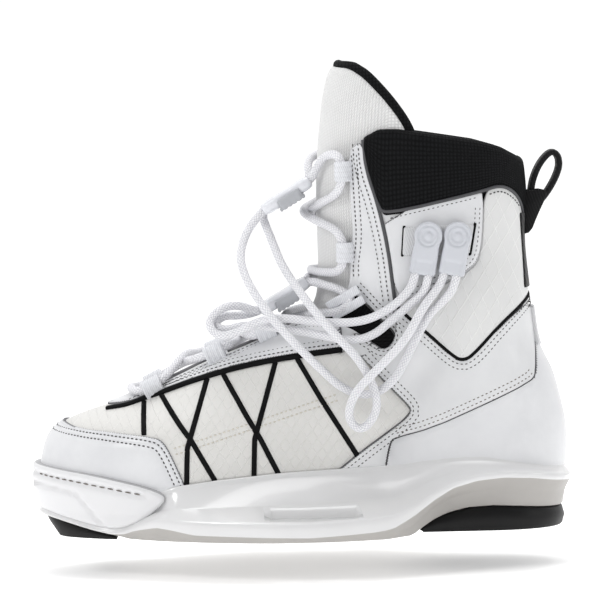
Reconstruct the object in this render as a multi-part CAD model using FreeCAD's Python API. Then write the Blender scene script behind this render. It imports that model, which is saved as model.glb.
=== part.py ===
"""Laced board-sports boot on a moulded binding chassis, built as separate pieces.

Frame: millimetres, origin at the centre of the board bolt pattern on the underside,
+Z up, toe towards -X, heel towards +X, outer (lateral) side of the left boot towards -Y.
"""
import FreeCAD
import Part
import math
import os

V = FreeCAD.Vector

# ---- driving dimensions -------------------------------------------------------------
UPPER_BOTTOM = 25.0        # height where the upper meets the lasting board
LOFT_TOP = 285.0           # the body lofts run past the tongue tip
OVERLAY = 1.4              # leather and strip thickness on the shell
SHELL = 2.2                # structural fabric shell thickness
LINING = 3.8               # padded lining inside the shell
TONGUE_SKIN = -2.6         # tongue outer face, measured from the shell's outer face
TONGUE_THICK = 6.0
BOLT_SPAN = 152.4          # six-inch board insert spacing
SLOT_PITCH = 28.0          # distance between the two slots of one side
SLOT_LENGTH = 20.0
SLOT_RADIUS = 3.3          # M6 clearance
FLANGE_HALF = 88.0         # widest half-width of the binding flange
FLANGE_SEAT = 8.0          # height of the flat seat under the screw heads
LACE = 5.0                 # lace diameter
BORE = 5.8                 # lace passage diameter in loops, locks and handles
MIDSOLE_SEAT = [(-175, 19), (-152, 17), (-120, 12.2), (50, 12.2), (64, 17), (165, 17)]

# ---- body shape: horizontal sections of the upper -----------------------------------
# (height, x) of the front and back silhouettes, from the sole to above the tongue.
FRONT = [(16, -157), (30, -160), (44, -159), (58, -154.5), (66, -146), (71.5, -133), (75.5, -120),
         (80, -107), (84.5, -98), (89, -89), (93, -81), (98, -71), (104, -57), (110.5, -39),
         (117.5, -22), (126, -7), (134, 0.5), (146, 3.2), (170, 3.5), (195, 3.2), (215, 4),
         (239, 6.2), (256, 8.6), (269, 12), (279, 18), (290, 27)]
BACK = [(16, 143), (30, 146.5), (44, 148), (58, 148), (73, 145.3), (90, 140.8), (99, 136.5),
        (110, 132.5), (128, 130), (142, 128.5), (166, 126.5), (190, 127), (215, 126), (290, 124)]
# (height, length) of the rounded front and back ends of each section.
FRONT_CAP = [(16, 60), (50, 63), (62, 88), (70, 120), (80, 150), (92, 160), (104, 136),
             (116, 108), (128, 82), (140, 64), (160, 56), (290, 56)]
BACK_CAP = [(16, 44), (90, 46), (120, 48), (160, 55), (290, 55)]
SECTION_HEIGHTS = [34, 48, 60, 69, 77, 86, 96, 107, 119, 132, 148, 180, 215, 250, 270]
HEEL_HALF = 40.0
BALL_EXTRA = 13.5
BALL_X = -82.0
BALL_SPREAD = 58.0
SHAFT_HALF = 45.0
TOE_TURN = 9.0             # the toe swings this far towards the inner side
CAP_POWER = 2.3


def hermite(table, z):
    """Smooth interpolation through (height, value) rows, with no overshoot at the ends."""
    if z <= table[0][0]:
        return table[0][1]
    if z >= table[-1][0]:
        return table[-1][1]
    i = max(k for k in range(len(table) - 1) if table[k][0] <= z)

    def slope(k):
        a, b = max(k - 1, 0), min(k + 1, len(table) - 1)
        return (table[b][1] - table[a][1]) / (table[b][0] - table[a][0])

    (z0, v0), (z1, v1) = table[i], table[i + 1]
    h = z1 - z0
    t = (z - z0) / h
    return (v0 * (1 + 2 * t) * (1 - t) ** 2 + slope(i) * h * t * (1 - t) ** 2
            + v1 * t * t * (3 - 2 * t) + slope(i + 1) * h * t * t * (t - 1))


def smooth(a, b, x):
    t = min(1.0, max(0.0, (x - a) / (b - a)))
    return t * t * (3 - 2 * t)


def silhouette(table, z, grow, sign):
    """x of a silhouette pushed outwards by grow, measured square to the curve."""
    step = 1.5
    slope = (hermite(table, z + step) - hermite(table, z - step)) / (2 * step)
    length = math.hypot(1.0, slope)
    nz = -sign * slope / length
    return hermite(table, z - grow * nz) + sign * grow / length


def centreline(x):
    return TOE_TURN * min(1.0, max(0.0, (-25.0 - x) / 135.0)) ** 2


def widest(x, z):
    foot = HEEL_HALF + BALL_EXTRA * math.exp(-((x - BALL_X) / BALL_SPREAD) ** 2)
    if z < 48:
        foot *= 1 - 0.05 * ((z - 48) / 30.0) ** 2
    return foot + (SHAFT_HALF - foot) * smooth(85, 150, z)


def cap(distance, length):
    t = min(1.0, max(0.0, distance / length))
    return (1 - (1 - t) ** CAP_POWER) ** (1 / CAP_POWER)


def half_width(x, z, grow=0.0):
    """Half-width of the body at x on the section at height z."""
    front, back = silhouette(FRONT, z, grow, -1), silhouette(BACK, z, grow, 1)
    tail = hermite(BACK_CAP, z)
    nose = min(hermite(FRONT_CAP, z), back - front - tail)
    return (widest(x, z) + grow) * cap(x - front, nose) * cap(back - x, tail)


def section(z, grow, height=None, count=11):
    """Closed smooth wire of one horizontal section."""
    front, back = silhouette(FRONT, z, grow, -1), silhouette(BACK, z, grow, 1)
    side = []
    for i in range(count + 1):
        x = back - (back - front) * (1 - math.cos(math.pi * i / count)) / 2
        side.append((x, half_width(x, z, grow) if 0 < i < count else 0.0))
    z_out = z if height is None else height
    points = [V(x, centreline(x) - w, z_out) for x, w in side]
    points += [V(x, centreline(x) + w, z_out) for x, w in side[-2:0:-1]]
    curve = Part.BSplineCurve()
    knots = [i / len(points) for i in range(len(points) + 1)]
    curve.interpolate(Points=points, PeriodicFlag=True, Parameters=knots)
    return Part.Wire(curve.toShape())


def body(grow, bottom=UPPER_BOTTOM, top=LOFT_TOP):
    """Solid of the boot's body, grown outwards by grow, between two heights."""
    levels = [bottom] + [z for z in SECTION_HEIGHTS if bottom + 2 < z < top - 2] + [top]
    return Part.makeLoft([section(z, grow) for z in levels], True, False)


def plan(grow, low, high, at=40.0):
    """Upright solid with the foot's outline at height `at`, grown by grow."""
    face = Part.Face(section(at, grow, height=low))
    return face.extrude(V(0, 0, high - low))


def side_prism(outline, y0=-130.0, y1=130.0):
    """Solid with an x-z outline, run straight across from y0 to y1."""
    points = [V(x, y0, z) for x, z in outline]
    return Part.Face(Part.makePolygon(points + points[:1])).extrude(V(0, y1 - y0, 0))


def box(x0, x1, y0, y1, z0, z1):
    return Part.makeBox(x1 - x0, y1 - y0, z1 - z0, V(x0, y0, z0))


def half_space(side):
    """Everything on one side of the boot's middle, -1 for the outer side."""
    return box(-200, 200, -130, 0, -10, 300) if side < 0 else box(-200, 200, 0, 130, -10, 300)


def ribbon(points, width):
    """x-z outline of a strip of one width along a polyline."""
    left, right = [], []
    for i, (x, z) in enumerate(points):
        a, b = points[max(i - 1, 0)], points[min(i + 1, len(points) - 1)]
        dx, dz = b[0] - a[0], b[1] - a[1]
        length = math.hypot(dx, dz)
        nx, nz = -dz / length * width / 2, dx / length * width / 2
        left.append((x + nx, z + nz))
        right.append((x - nx, z - nz))
    return left + right[::-1]


# ---- x-z lines that bound the pieces of the upper -----------------------------------
THROAT = [(-97, 82.5), (-84, 88.8), (-72, 94.5), (-58, 100.5), (-40, 107.5), (-23, 114.5),
          (-6, 122.5), (9, 126)]
SHAFT_FRONT = [(20, 138), (25, 148), (24.5, 157), (27, 172), (26, 194), (25, 222)]
COLLAR_TOP = [(25, 222), (34, 231), (42, 235), (53, 235), (66, 233), (100, 227.5),
              (114, 224), (123, 218.5), (128, 209), (131, 196)]
COLLAR_FOOT = [(44, 185), (99, 197), (112, 201), (120, 197), (124.5, 190.5), (127, 182),
               (140, 180)]
EYESTAY_REAR = [(34, 229), (35, 212), (41.5, 191), (46.5, 166), (49, 143), (50, 134)]
VAMP_REAR = [(20.5, 108), (29, 104.5), (43.5, 88), (56, 75), (58.5, 71), (53, 65), (27.5, 47),
             (11, 34)]
COUNTER_FRONT = [(40, 30), (45.5, 53), (48, 55.5), (70.5, 61), (100, 73.5), (128, 86), (131, 90),
                 (131, 106), (132.5, 130)]
CUFF_FOOT = [(50, 134), (54.5, 128.5), (65, 119.5), (83, 102.5), (88.5, 99.7), (94.5, 102.5),
             (110, 119.5), (131, 138)]
GUSSET = [(20, 138), (28.7, 138.5), (38.4, 129), (43, 123), (49, 118), (50, 114), (44, 106.5),
          (35.7, 112), (25.6, 118.8), (9, 126)]
PIPING = [(-119, 72.5), (-108, 76), (-98, 79.5), (-84, 84.5), (-66, 91), (-40, 98.5),
          (-6, 104.3), (19, 107.5)]
STRIPS = [[(-98.5, 84), (-97, 61)], [(-88, 87), (-69.5, 57.4), (-56, 33)],
          [(-58.7, 94), (-72, 53), (-73, 32)], [(-51, 96), (-29.6, 57), (-18.5, 35)],
          [(-20, 101), (-33, 57), (-34, 34)], [(-7.5, 103), (5.5, 80), (27, 46)]]
TOE_CAP = [(-175, 30), (-175, 67), (-155, 65.5), (-136, 63.5), (-114, 62), (-90, 59.8),
           (-85.5, 57), (-82.3, 51.5), (-77, 39.5), (-71, 22), (-175, 22)]
RAND = [(-175, 42), (-148, 40.8), (-125, 38.2), (-104, 33.8), (-90, 29.6), (-83.5, 27),
        (-89.5, 19), (-98, 12.6), (-109, 8), (-116.5, 7), (-126, 9), (-160, 17.5), (-175, 19)]
CHASSIS_TOP = [(-180, 22), (-100, 24), (-80, 31.4), (-56, 34.3), (-18, 37.2), (15, 38.5),
               (47, 40), (64, 42.6), (88, 44.7), (100, 44.4), (123, 41.3), (145, 36.7), (160, 33)]
RIDGE = [(40, 14), (47, 15.2), (58, 19.6), (70, 26.3), (82, 31.4), (95, 34.7), (110, 36),
         (123, 35), (135, 32.6), (165, 28)]
TOE_PAD_TOP = [(-172, 15.5), (-155, 11.5), (-108, 0)]
HEEL_PAD_TOP = [(57, 0), (63.5, 4), (70, 7.5), (77, 10.3), (90, 13.5), (105, 14.3), (120, 13.4),
                (135, 12), (165, 9.5)]
TONGUE_TOP = [(-20, 262), (9, 268), (13.5, 273), (18, 275), (25, 274), (33, 268.5), (40, 261.5),
              (47, 254), (53, 246.5), (58.5, 238), (62, 232)]
TONGUE_REAR = [(62, 232), (62, 200), (55, 165), (44, 140), (36, 120), (20, 112), (-20, 92),
               (-60, 78), (-96, 72)]
FOLD_Z = 228.0             # the tongue's free top folds forward about this line
FOLD_X = 3.5

# ---- lacing -------------------------------------------------------------------------
LOCK_LENGTH, LOCK_WIDTH, LOCK_HEIGHT = 33.0, 20.0, 8.0
LOCK_LEAN = math.radians(31.0)     # both locks point up and back along the laces
LOCKS = {"upper": V(-11.5, -14.0, 197.0), "lower": V(-14.2, -14.0, 138.2)}
STRAND_GAP = 4.5           # each strand's distance from the middle of its lock
HANDLES = {"lower": V(68.5, -52.0, 165.5), "upper": V(85.5, -52.0, 165.0)}
HANDLE_LEAN = math.radians(11.0)   # the handles hang with their tails towards the toe
HANDLE_LENGTH, HANDLE_WIDTH, HANDLE_THICK = 31.0, 15.5, 7.0
HANDLE_BORES = 3.8         # each lace end's distance from the middle of its handle
LOOP_BORE = 8.0
PASSAGE_GAP = 0.5          # room round a lace where it bends through another piece
PASSAGES = [("lace_hooks", "lower_lacing"), ("shaft_loops", "upper_lacing"),
            ("lower_lock_housing", "lower_lacing"), ("upper_pull_handle", "upper_lead_a")]
LOOP_FOOT = -3.5           # how far a loop's feet reach below the lace's middle
SHAFT_LOOP_TURN = 31.0     # the loops lie flat on the front corner of the shaft
INSTEP_LOOP_TILT = 32.0    # and on the slope beside the tongue
SHAFT_LOOPS = [V(21.0, -42.0, 211.0), V(21.0, -42.0, 164.0)]
INSTEP_LOOPS = [V(-25.5, -21.5, 118.0), V(-56.0, -22.0, 107.0), V(-93.0, -22.0, 88.0)]

UPPER_LEAD_A = [(-15.4, -18.5, 194.7), (-27, -18.5, 187.7), (-37, -24, 174), (-40, -34, 158),
                (-29, -47, 137), (-12, -51, 116), (4, -52, 99.5), (20, -50.5, 84),
                (36, -50.5, 81), (49, -51.5, 90), (58, -52, 107), (69, -52, 128),
                (79.8, -52, 137), (84.8, -52, 144.3), (86.8, -52, 155)]
UPPER_LEAD_B = [(-15.4, -9.5, 194.7), (-27, -9.5, 187.7), (-22.5, -18.5, 176),
                (-19, -25, 167), (-15, -31, 157), (-8, -38, 146), (4, -55, 130),
                (17, -58, 115), (27.5, -58, 104), (36.5, -57, 88), (39, -57, 73),
                (29, -57, 60.5), (20.5, -58, 69), (25, -62, 84), (37, -64.5, 96),
                (55, -61, 113), (65, -57.5, 131), (72.5, -53, 140), (77.7, -52, 147),
                (79.4, -52, 155.5)]
UPPER_LACING = [(-7.6, -18.5, 199.3), (3.1, -18.5, 205.8), (7, -21.5, 214), (12, -29, 221),
                (21, -42, 220.5), (21, -42, 199.5), (7.5, -21, 192), (1.5, 0, 186.5),
                (7.5, 21, 182), (21, 42, 175.5), (21, 42, 152.5), (7, 23, 152),
                (0.2, 0, 153), (7, -23, 152), (21, -42, 152.5), (21, -42, 175.5),
                (5.5, -21, 182), (-4, 0, 187.5), (5.5, 21, 192), (21, 42, 199.5),
                (21, 42, 220.5), (10, 25, 221.5), (0.5, 2, 217), (3.1, -9.5, 205.8),
                (-7.6, -9.5, 199.3)]
LOWER_LEAD_A = [(-18.1, -18.5, 135.9), (-29.5, -18.5, 129), (-40, -22, 134), (-51, -27, 133),
                (-59.5, -32, 124.5), (-53, -37, 116), (-41, -39, 119), (-27, -40.5, 126.5),
                (-12, -43, 126.8), (10, -49, 123.8), (31, -51.6, 124), (46.5, -52, 131),
                (57, -52, 140), (61.3, -52, 147.5), (62.9, -52, 156)]
LOWER_LEAD_B = [(-18.1, -9.5, 135.9), (-29.5, -9.5, 129), (-40, -14, 127), (-50, -22, 128),
                (-56, -28.5, 123), (-49, -31.5, 119.5), (-40, -33.5, 122.5),
                (-30, -35, 122.5), (-15, -37.5, 120.5), (3, -46, 117.5), (24, -51.6, 113),
                (37, -51.6, 116), (48, -51.8, 125), (58.5, -52, 133.6), (66.3, -52, 140),
                (68.8, -52, 146.5), (70.4, -52, 154.5)]
LOWER_LACING = [(-10.3, -18.5, 140.5), (0.6, -18.5, 147), (7, -25.5, 145.5), (19, -38, 142.5),
                (26.5, -43.5, 136.5), (17, -37.5, 129), (4, -26, 128.5), (-11, 0, 124.5),
                (-16.5, 21, 121.7), (-34.5, 22, 114.3), (-41, 0, 112), (-47, -21.5, 110.7),
                (-65, -22.5, 103.3), (-75, 0, 99.5), (-84, 26, 92.5), (-102, 26.5, 83.5),
                (-107, 0, 86), (-102, -22, 83.5), (-84, -21.5, 92.5), (-74, 0, 105.2),
                (-65, 23.4, 103.3), (-47, 22.4, 110.7), (-40, 0, 117.6), (-34.5, -22, 114.3),
                (-16.5, -21, 121.7), (-13, 0, 128.7), (4, 26, 130), (17, 37.5, 129),
                (26.5, 43.5, 136.5), (20, 38, 143.5), (8.5, 22, 147.5), (-0.5, 3, 148.8),
                (0.6, -9.5, 147), (-10.3, -9.5, 140.5)]


# ---- skins, layers and small solids --------------------------------------------------
_bodies = {}
_bands = {}


def grown(grow):
    """The boot's body at one offset, made once."""
    if grow not in _bodies:
        _bodies[grow] = body(grow)
    return _bodies[grow]


def band(outer, inner):
    """The skin between two offsets, made once."""
    if (outer, inner) not in _bands:
        _bands[outer, inner] = grown(outer).cut(grown(inner))
    return _bands[outer, inner]


def layer(outline, outer, inner, side=None):
    """The part of the skin between two offsets that lies inside an x-z outline."""
    reach = {"lateral": (-130, -0.02), "medial": (0.02, 130), None: (-130, 130)}[side]
    return band(outer, inner).common(side_prism(outline, *reach))


def fuse(shapes):
    return shapes[0].multiFuse(shapes[1:]).removeSplitter() if len(shapes) > 1 else shapes[0]


def mirrored(shape):
    return shape.mirror(V(0, 0, 0), V(0, 1, 0))


def save(name, shape):
    """Write one piece, keeping only its solids."""
    solids = [s for s in shape.Solids if s.Volume > 0.5]
    out = Part.makeCompound(solids) if len(solids) > 1 else solids[0]
    out.exportStep("parts/" + name + ".step")
    size = out.BoundBox
    print("%-22s %d solids %9.0f mm3  x %.1f..%.1f y %.1f..%.1f z %.1f..%.1f valid %s" % (
        name, len(solids), out.Volume, size.XMin, size.XMax, size.YMin, size.YMax,
        size.ZMin, size.ZMax, out.isValid()))


def rounded_box(x0, x1, y0, y1, z0, z1, radius):
    shape = box(x0, x1, y0, y1, z0, z1)
    return shape.makeFillet(radius, shape.Edges)


def placed(shape, origin, angle):
    """Turn a local shape so its +X points up by angle in the x-z plane, then move it."""
    shape = shape.copy()
    shape.rotate(V(0, 0, 0), V(0, -1, 0), math.degrees(angle))
    shape.translate(origin)
    return shape


def slot_solid(x, y, length, radius, z0, z1):
    """Upright slot-shaped solid, long in X."""
    reach = length / 2 - radius
    ends = [Part.makeCylinder(radius, z1 - z0, V(x + s * reach, y, z0)) for s in (-1, 1)]
    return fuse([box(x - reach, x + reach, y - radius, y + radius, z0, z1)] + ends)


# ---- cords --------------------------------------------------------------------------
def cord(points, name, width=LACE):
    """Round cord: straight runs joined by arcs that touch both runs."""
    pts = [V(*p) for p in points]
    edges, start, radii, length = [], pts[0], [], 0.0
    for i in range(1, len(pts) - 1):
        back, ahead = pts[i - 1] - pts[i], pts[i + 1] - pts[i]
        reach = 0.45 * min(back.Length, ahead.Length)
        turn = math.pi - back.getAngle(ahead)
        radius = reach / math.tan(turn / 2)
        radii.append(radius)
        a = pts[i] + back.normalize() * reach
        b = pts[i] + ahead.normalize() * reach
        bisector = (back + ahead).normalize()
        middle = pts[i] + bisector * (radius / math.cos(turn / 2) - radius)
        edges.append(Part.LineSegment(start, a).toShape())
        edges.append(Part.Arc(a, middle, b).toShape())
        start = b
    edges.append(Part.LineSegment(start, pts[-1]).toShape())
    spine = Part.Wire(edges)
    direction = pts[1] - pts[0]
    profile = Part.Wire(Part.makeCircle(width / 2, pts[0], direction))
    tube = spine.makePipeShell([profile], True, True)
    expected = math.pi * width ** 2 / 4 * spine.Length
    print("%-16s length %.0f  smallest radius %.1f  volume ratio %.3f" % (
        name, spine.Length, min(radii), tube.Volume / expected))
    return tube


# ---- chassis and sole ---------------------------------------------------------------
FLANGE_PLAN = [(-104, 50), (-92, 61), (-62, 76), (-25, 88), (12, 88), (42, 80), (60, 70.5),
               (80, 60.5), (100, 55), (120, 51), (137, 43), (148, 30), (152.3, 12)]


def flange_outline():
    """Plan of the binding flange as a closed x-y outline, both sides."""
    near = [(x, -y) for x, y in FLANGE_PLAN]
    far = [(x, y) for x, y in FLANGE_PLAN[::-1]]
    points = [V(x, y, -5) for x, y in near + far]
    return Part.Face(Part.makePolygon(points + points[:1])).extrude(V(0, 0, 60))


def flange_section():
    """Flange cross-section run the length of the boot: flat edge, slope up to the upper."""
    half = [(-FLANGE_HALF, 3.5), (-FLANGE_HALF, 12), (-70, 23), (-52, 36), (-46, 50)]
    outline = [(-80, 0)] + half + [(-y, z) for y, z in half[::-1]] + [(80, 0)]
    points = [V(-110, y, z) for y, z in outline]
    return Part.Face(Part.makePolygon(points + points[:1])).extrude(V(280, 0, 0))


def chassis():
    """Moulded binding: tray round the upper, bolt flanges and the flared heel rim."""
    under = [(-175, 17.5)] + [(x, z + 0.3) for x, z in TOE_PAD_TOP[:2]] + [(-107, 0)]
    heel_under = [(x, z + 0.3) for x, z in HEEL_PAD_TOP[1:]]
    wall = side_prism(under + [(57, 0)] + heel_under + CHASSIS_TOP[::-1])
    tray = plan(1.0, -2, 30).common(wall)
    tray = tray.fuse(body(4.6, 16, 50).common(side_prism(
        [(-92, 12)] + [(57, 0.3)] + heel_under + CHASSIS_TOP[:0:-1])))
    rim = side_prism([(-104, 0), (38, 0), (38, 8)] + [(x, z - 2.5) for x, z in RIDGE]
                     + CHASSIS_TOP[:0:-1])
    flange = flange_section().common(flange_outline()).common(rim)
    solid = tray.fuse(flange)
    solid = solid.cut(body(OVERLAY + 0.35, 21.6, 60))
    solid = solid.cut(plan(-1.5, 5, 40).common(side_prism(MIDSOLE_SEAT + [(165, 45), (-175, 45)])))
    for side in (-1, 1):
        y = side * BOLT_SPAN / 2
        lip = side * (FLANGE_HALF - 3.5)
        inner = side * (BOLT_SPAN / 2 - 8.5)
        solid = solid.cut(box(-28, 28, min(lip, inner), max(lip, inner), FLANGE_SEAT, 45))
        for x in (-SLOT_PITCH / 2, SLOT_PITCH / 2):
            solid = solid.cut(slot_solid(x, y, SLOT_LENGTH, SLOT_RADIUS, -1, 20))
        for x in (-66, 48):
            solid = solid.cut(slot_solid(x, side * 58, 20, 4, -1, 3))
    return solid


def toe_bumper(toe_cap):
    """Thick rubber bumper wrapped round the toe, from the chassis up over the toe cap."""
    wrap = body(5.2, 15, 46).fuse(plan(4.6, 5, 15.5)).common(side_prism(RAND))
    wrap = wrap.cut(body(OVERLAY + 0.15, 15, 50)).cut(plan(1.2, -2, 21.6))
    return wrap.cut(toe_cap)


def toe_pad():
    """Wedge-shaped grip pad under the toe."""
    outline = [(-153, 5.3), (-149, 0), (-111, 0)] + [(-111, 0.6), (-155, 11.2), (-158, 12)]
    return plan(-2.0, -2, 30, 30).common(side_prism(outline))


def heel_pad():
    """Grip pad under the heel."""
    outline = [(60, 0), (145, 0), (148.7, 3.5), (152, 9.8), (135, 11.7), (120, 13.1), (105, 14),
               (90, 13.2), (77, 10), (70, 7.2), (63.5, 3.7), (60, 1.2)]
    return plan(1.5, -2, 30, 40).common(side_prism(outline))


def sole_stack():
    """Foam midsole in the chassis, lasting board closing the upper, and the footbed."""
    seat = [(x, z + 0.3) for x, z in MIDSOLE_SEAT]
    foam = plan(-1.9, 5, 21.5).common(side_prism(seat + [(165, 22), (-175, 22)]))
    board = plan(-3.0, 22.0, 24.8)
    footbed = plan(-9.5, 25.2, 29.5).fuse(plan(-9.5, 29, 33).common(box(60, 160, -60, 60, 29, 33)))
    return {"midsole_foam": foam, "lasting_board": board, "footbed": footbed}


# ---- upper --------------------------------------------------------------------------
def shell_outline():
    """Everything of the upper behind the throat and below the collar pad."""
    return ([(-175, 22), (-175, 80)] + THROAT + GUSSET[:1] + SHAFT_FRONT[1:] + COLLAR_TOP[1:]
            + [(160, 196), (160, 22)])


def upper_shells():
    """Structural fabric and leather shells under the overlays."""
    shell = layer(shell_outline(), 0, -SHELL)
    gusset = side_prism(GUSSET)
    collar = side_prism(COLLAR_FOOT + [(160, 180), (160, 250), (20, 250), (20, 222), (36, 222)])
    vamp_zone = side_prism([(-175, 22), (-175, 90), (-98, 90), (8, 140), (9, 126), (15, 116)]
                           + VAMP_REAR + [(11, 22)])
    vamp = shell.common(vamp_zone)
    quarter = shell.cut(fuse([collar, gusset, vamp_zone])).common(half_space(-1))
    ankle = layer(GUSSET, 0, -SHELL, "lateral")
    return {"vamp_shell": vamp, "quarter_lateral": quarter, "quarter_medial": mirrored(quarter),
            "gusset_lateral": ankle, "gusset_medial": mirrored(ankle)}


def overlays():
    """Sewn-on leather, ripstop, strips and piping."""
    out = {"toe_cap": layer(TOE_CAP, OVERLAY, 0)}
    lower = ([(-119, 72.5), (-119, 100), (-97, 100)] + THROAT + [(16, 125), (19, 121)]
             + PIPING[:0:-1])
    rear_leather = (VAMP_REAR[::-1][:-1] + [(20.5, 108), (25.5, 119)] + GUSSET[5:8][::-1]
                    + CUFF_FOOT[:5] + [(94.5, 102), (131, 106), (131, 90)]
                    + COUNTER_FRONT[:6][::-1])
    front_edge = SHAFT_FRONT[::-1] + [(28.7, 139), (38.4, 129.5), (43, 123.5)]
    eyestay = front_edge + [(48.5, 122)] + EYESTAY_REAR[::-1] + [(33.5, 230), (26, 223.5)]
    patch = [(44, 185), (99, 197), (102.3, 197.5), (101, 171), (98.6, 159), (94.6, 153.5),
             (82, 147), (59.5, 136), (50.5, 138.5), (47.5, 166)]
    cuff = [(102.9, 197.6), (112, 200.8), (120, 196.8), (124.5, 190), (127.4, 167), (131, 138),
            (110, 119.5), (94.5, 102.8), (88.6, 100), (83, 103), (65, 120), (55, 129),
            (52, 134.5), (51, 137.5), (59.6, 135.4), (82.3, 146.4), (95, 153), (99.2, 158.8),
            (101.7, 171)]
    counter = COUNTER_FRONT + [(150, 130), (160, 100), (160, 30)]
    piping = ribbon(PIPING, 2.8)
    eyestays = layer(lower, OVERLAY, 0).cut(side_prism(piping))
    out["lower_eyestay_lateral"] = eyestays.common(half_space(-1))
    out["lower_eyestay_medial"] = eyestays.common(half_space(1))
    sewn = {"quarter_leather": rear_leather, "upper_eyestay": eyestay, "handle_patch": patch,
            "cuff_panel": cuff}
    for name, outline in sewn.items():
        out[name + "_lateral"] = layer(outline, OVERLAY, 0, "lateral")
        out[name + "_medial"] = mirrored(out[name + "_lateral"])
    out["heel_counter"] = layer(counter, OVERLAY, 0)
    strips = fuse([side_prism(ribbon(p, 3.0)) for p in STRIPS])
    zone = side_prism([(x, z - 1.5) for x, z in PIPING] + [(19, 97), (18, 38), (11, 22),
                      (-70, 22), (-74, 32), (-77, 40), (-82, 52), (-85, 57.6), (-90, 60.4),
                      (-119, 62.5)])
    out["vamp_strips"] = band(OVERLAY, 0).common(strips.common(zone))
    out["vamp_piping"] = layer(piping, OVERLAY, 0)
    return out


def collar_and_lining():
    """Padded collar, quilted lining below it and the tab and strap at the back."""
    ring = (COLLAR_TOP + [(160, 180), (140, 180)] + COLLAR_FOOT[5::-1] + [(44, 200), (36, 222)])
    collar = layer(ring, 2.2, -SHELL)
    collar = collar.cut(side_prism([(20, 215), (33.5, 215), (33.5, 240), (20, 240)]))
    lining_area = TONGUE_REAR[::-1][1:] + [(62, 233), (100, 227), (123, 218), (128, 209), (131, 196),
                                           (160, 180), (160, 22), (-175, 22), (-175, 60)]
    lining = layer(lining_area, -SHELL, -SHELL - LINING)
    tab = box(120, 160, -9, 9, 106, 129).common(grown(2.6)).cut(grown(OVERLAY))
    strap = box(110, 160, -8, 8, 140, 179).common(grown(2.6)).cut(grown(OVERLAY + 0.05))
    return {"collar_pad": collar, "heel_tab": tab, "backstay_strap": strap, "lining": lining}


def tongue():
    """Padded tongue: fixed lower part and the free top that folds forward."""
    area = side_prism([(-200, 60)] + TONGUE_REAR[::-1] + TONGUE_TOP[::-1] + [(-60, 262), (-200, 200)])
    area = area.cut(box(-250, 250, -150, 150, FOLD_Z, 400))
    lower = band(TONGUE_SKIN, TONGUE_SKIN - TONGUE_THICK).common(area)
    tip_area = side_prism([(-60, FOLD_Z + 0.4), (61.5, FOLD_Z + 0.4), (61.5, 232)]
                          + TONGUE_TOP[::-1] + [(-60, 262)])
    tip = band(-3.4, -9.0).common(tip_area)
    return {"tongue_lower": lower, "tongue_top": tip}


def pull_loop():
    """Webbing loop at the back of the collar."""
    outer = [(131.2, 186), (130.8, 192), (132.2, 204), (137.5, 215), (144.6, 222.3), (149.5, 219),
             (151.4, 211), (148.4, 203), (144, 195.7), (137.5, 187.5)]
    inner = [(134, 191.5), (134.6, 200), (139, 210.5), (144.3, 216.5), (147.3, 211), (145.6, 204.5),
             (141.5, 197.5), (136.8, 191.5)]
    return side_prism(outer, -9, 9).cut(side_prism(inner, -10, 10))


# ---- lacing hardware ----------------------------------------------------------------
def webbing_loop(length=12.0, width=11.8, height=11.8):
    """Ribbed webbing arch standing on its two feet, its passage along local X."""
    loop = rounded_box(-length / 2, length / 2, -width / 2, width / 2, -height, height / 2, 2.0)
    loop = loop.cut(box(-length, length, -width, width, -2 * height, LOOP_FOOT))
    for i in range(3):
        x = (i - 1) * length / 3.6
        loop = loop.cut(box(x - 0.4, x + 0.4, -20, 20, height / 2 - 0.5, 20))
    loop = loop.cut(Part.makeCylinder(LOOP_BORE / 2, 60, V(-30, 0, 0), V(1, 0, 0)))
    return loop


def lace_loops():
    """Shaft loops, instep loops and the two hooks at the ankle bend."""
    shaft, instep = [], []
    for centre in SHAFT_LOOPS:
        loop = webbing_loop()
        loop.rotate(V(0, 0, 0), V(1, 0, 0), 90)
        loop.rotate(V(0, 0, 0), V(0, 1, 0), -90)
        loop.rotate(V(0, 0, 0), V(0, 0, 1), -SHAFT_LOOP_TURN)
        loop.translate(centre)
        shaft += [loop, mirrored(loop)]
    for centre, lean in zip(INSTEP_LOOPS, (22, 22, 27)):
        loop = webbing_loop()
        loop.rotate(V(0, 0, 0), V(1, 0, 0), INSTEP_LOOP_TILT)
        near = placed(loop, centre, math.radians(lean))
        far = mirrored(near)
        far.translate(V(0, 2 * centreline(centre.x), 0))
        instep += [near.cut(grown(OVERLAY + 0.05)), far.cut(grown(OVERLAY + 0.05))]
    strap = side_prism([(14, 124.5), (28, 133.2), (31.5, 139.5), (27, 142.5), (11.5, 131.5)], -48, -28)
    strap = strap.common(grown(8.4)).cut(grown(OVERLAY + 0.02))
    bend = V(26.5, -43.5, 136.5)
    ends = [V(13.5, -32.3, 145.5), V(10, -32.5, 123.5)]
    passage = [Part.makeCylinder(4.8, 24, end, bend - end) for end in ends]
    hook = strap.cut(fuse(passage + [Part.makeSphere(6.2, V(26, -43.2, 136.3))]))
    return {"shaft_loops": Part.makeCompound(shaft), "instep_loops": Part.makeCompound(instep),
            "lace_hooks": Part.makeCompound([hook, mirrored(hook)])}


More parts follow.
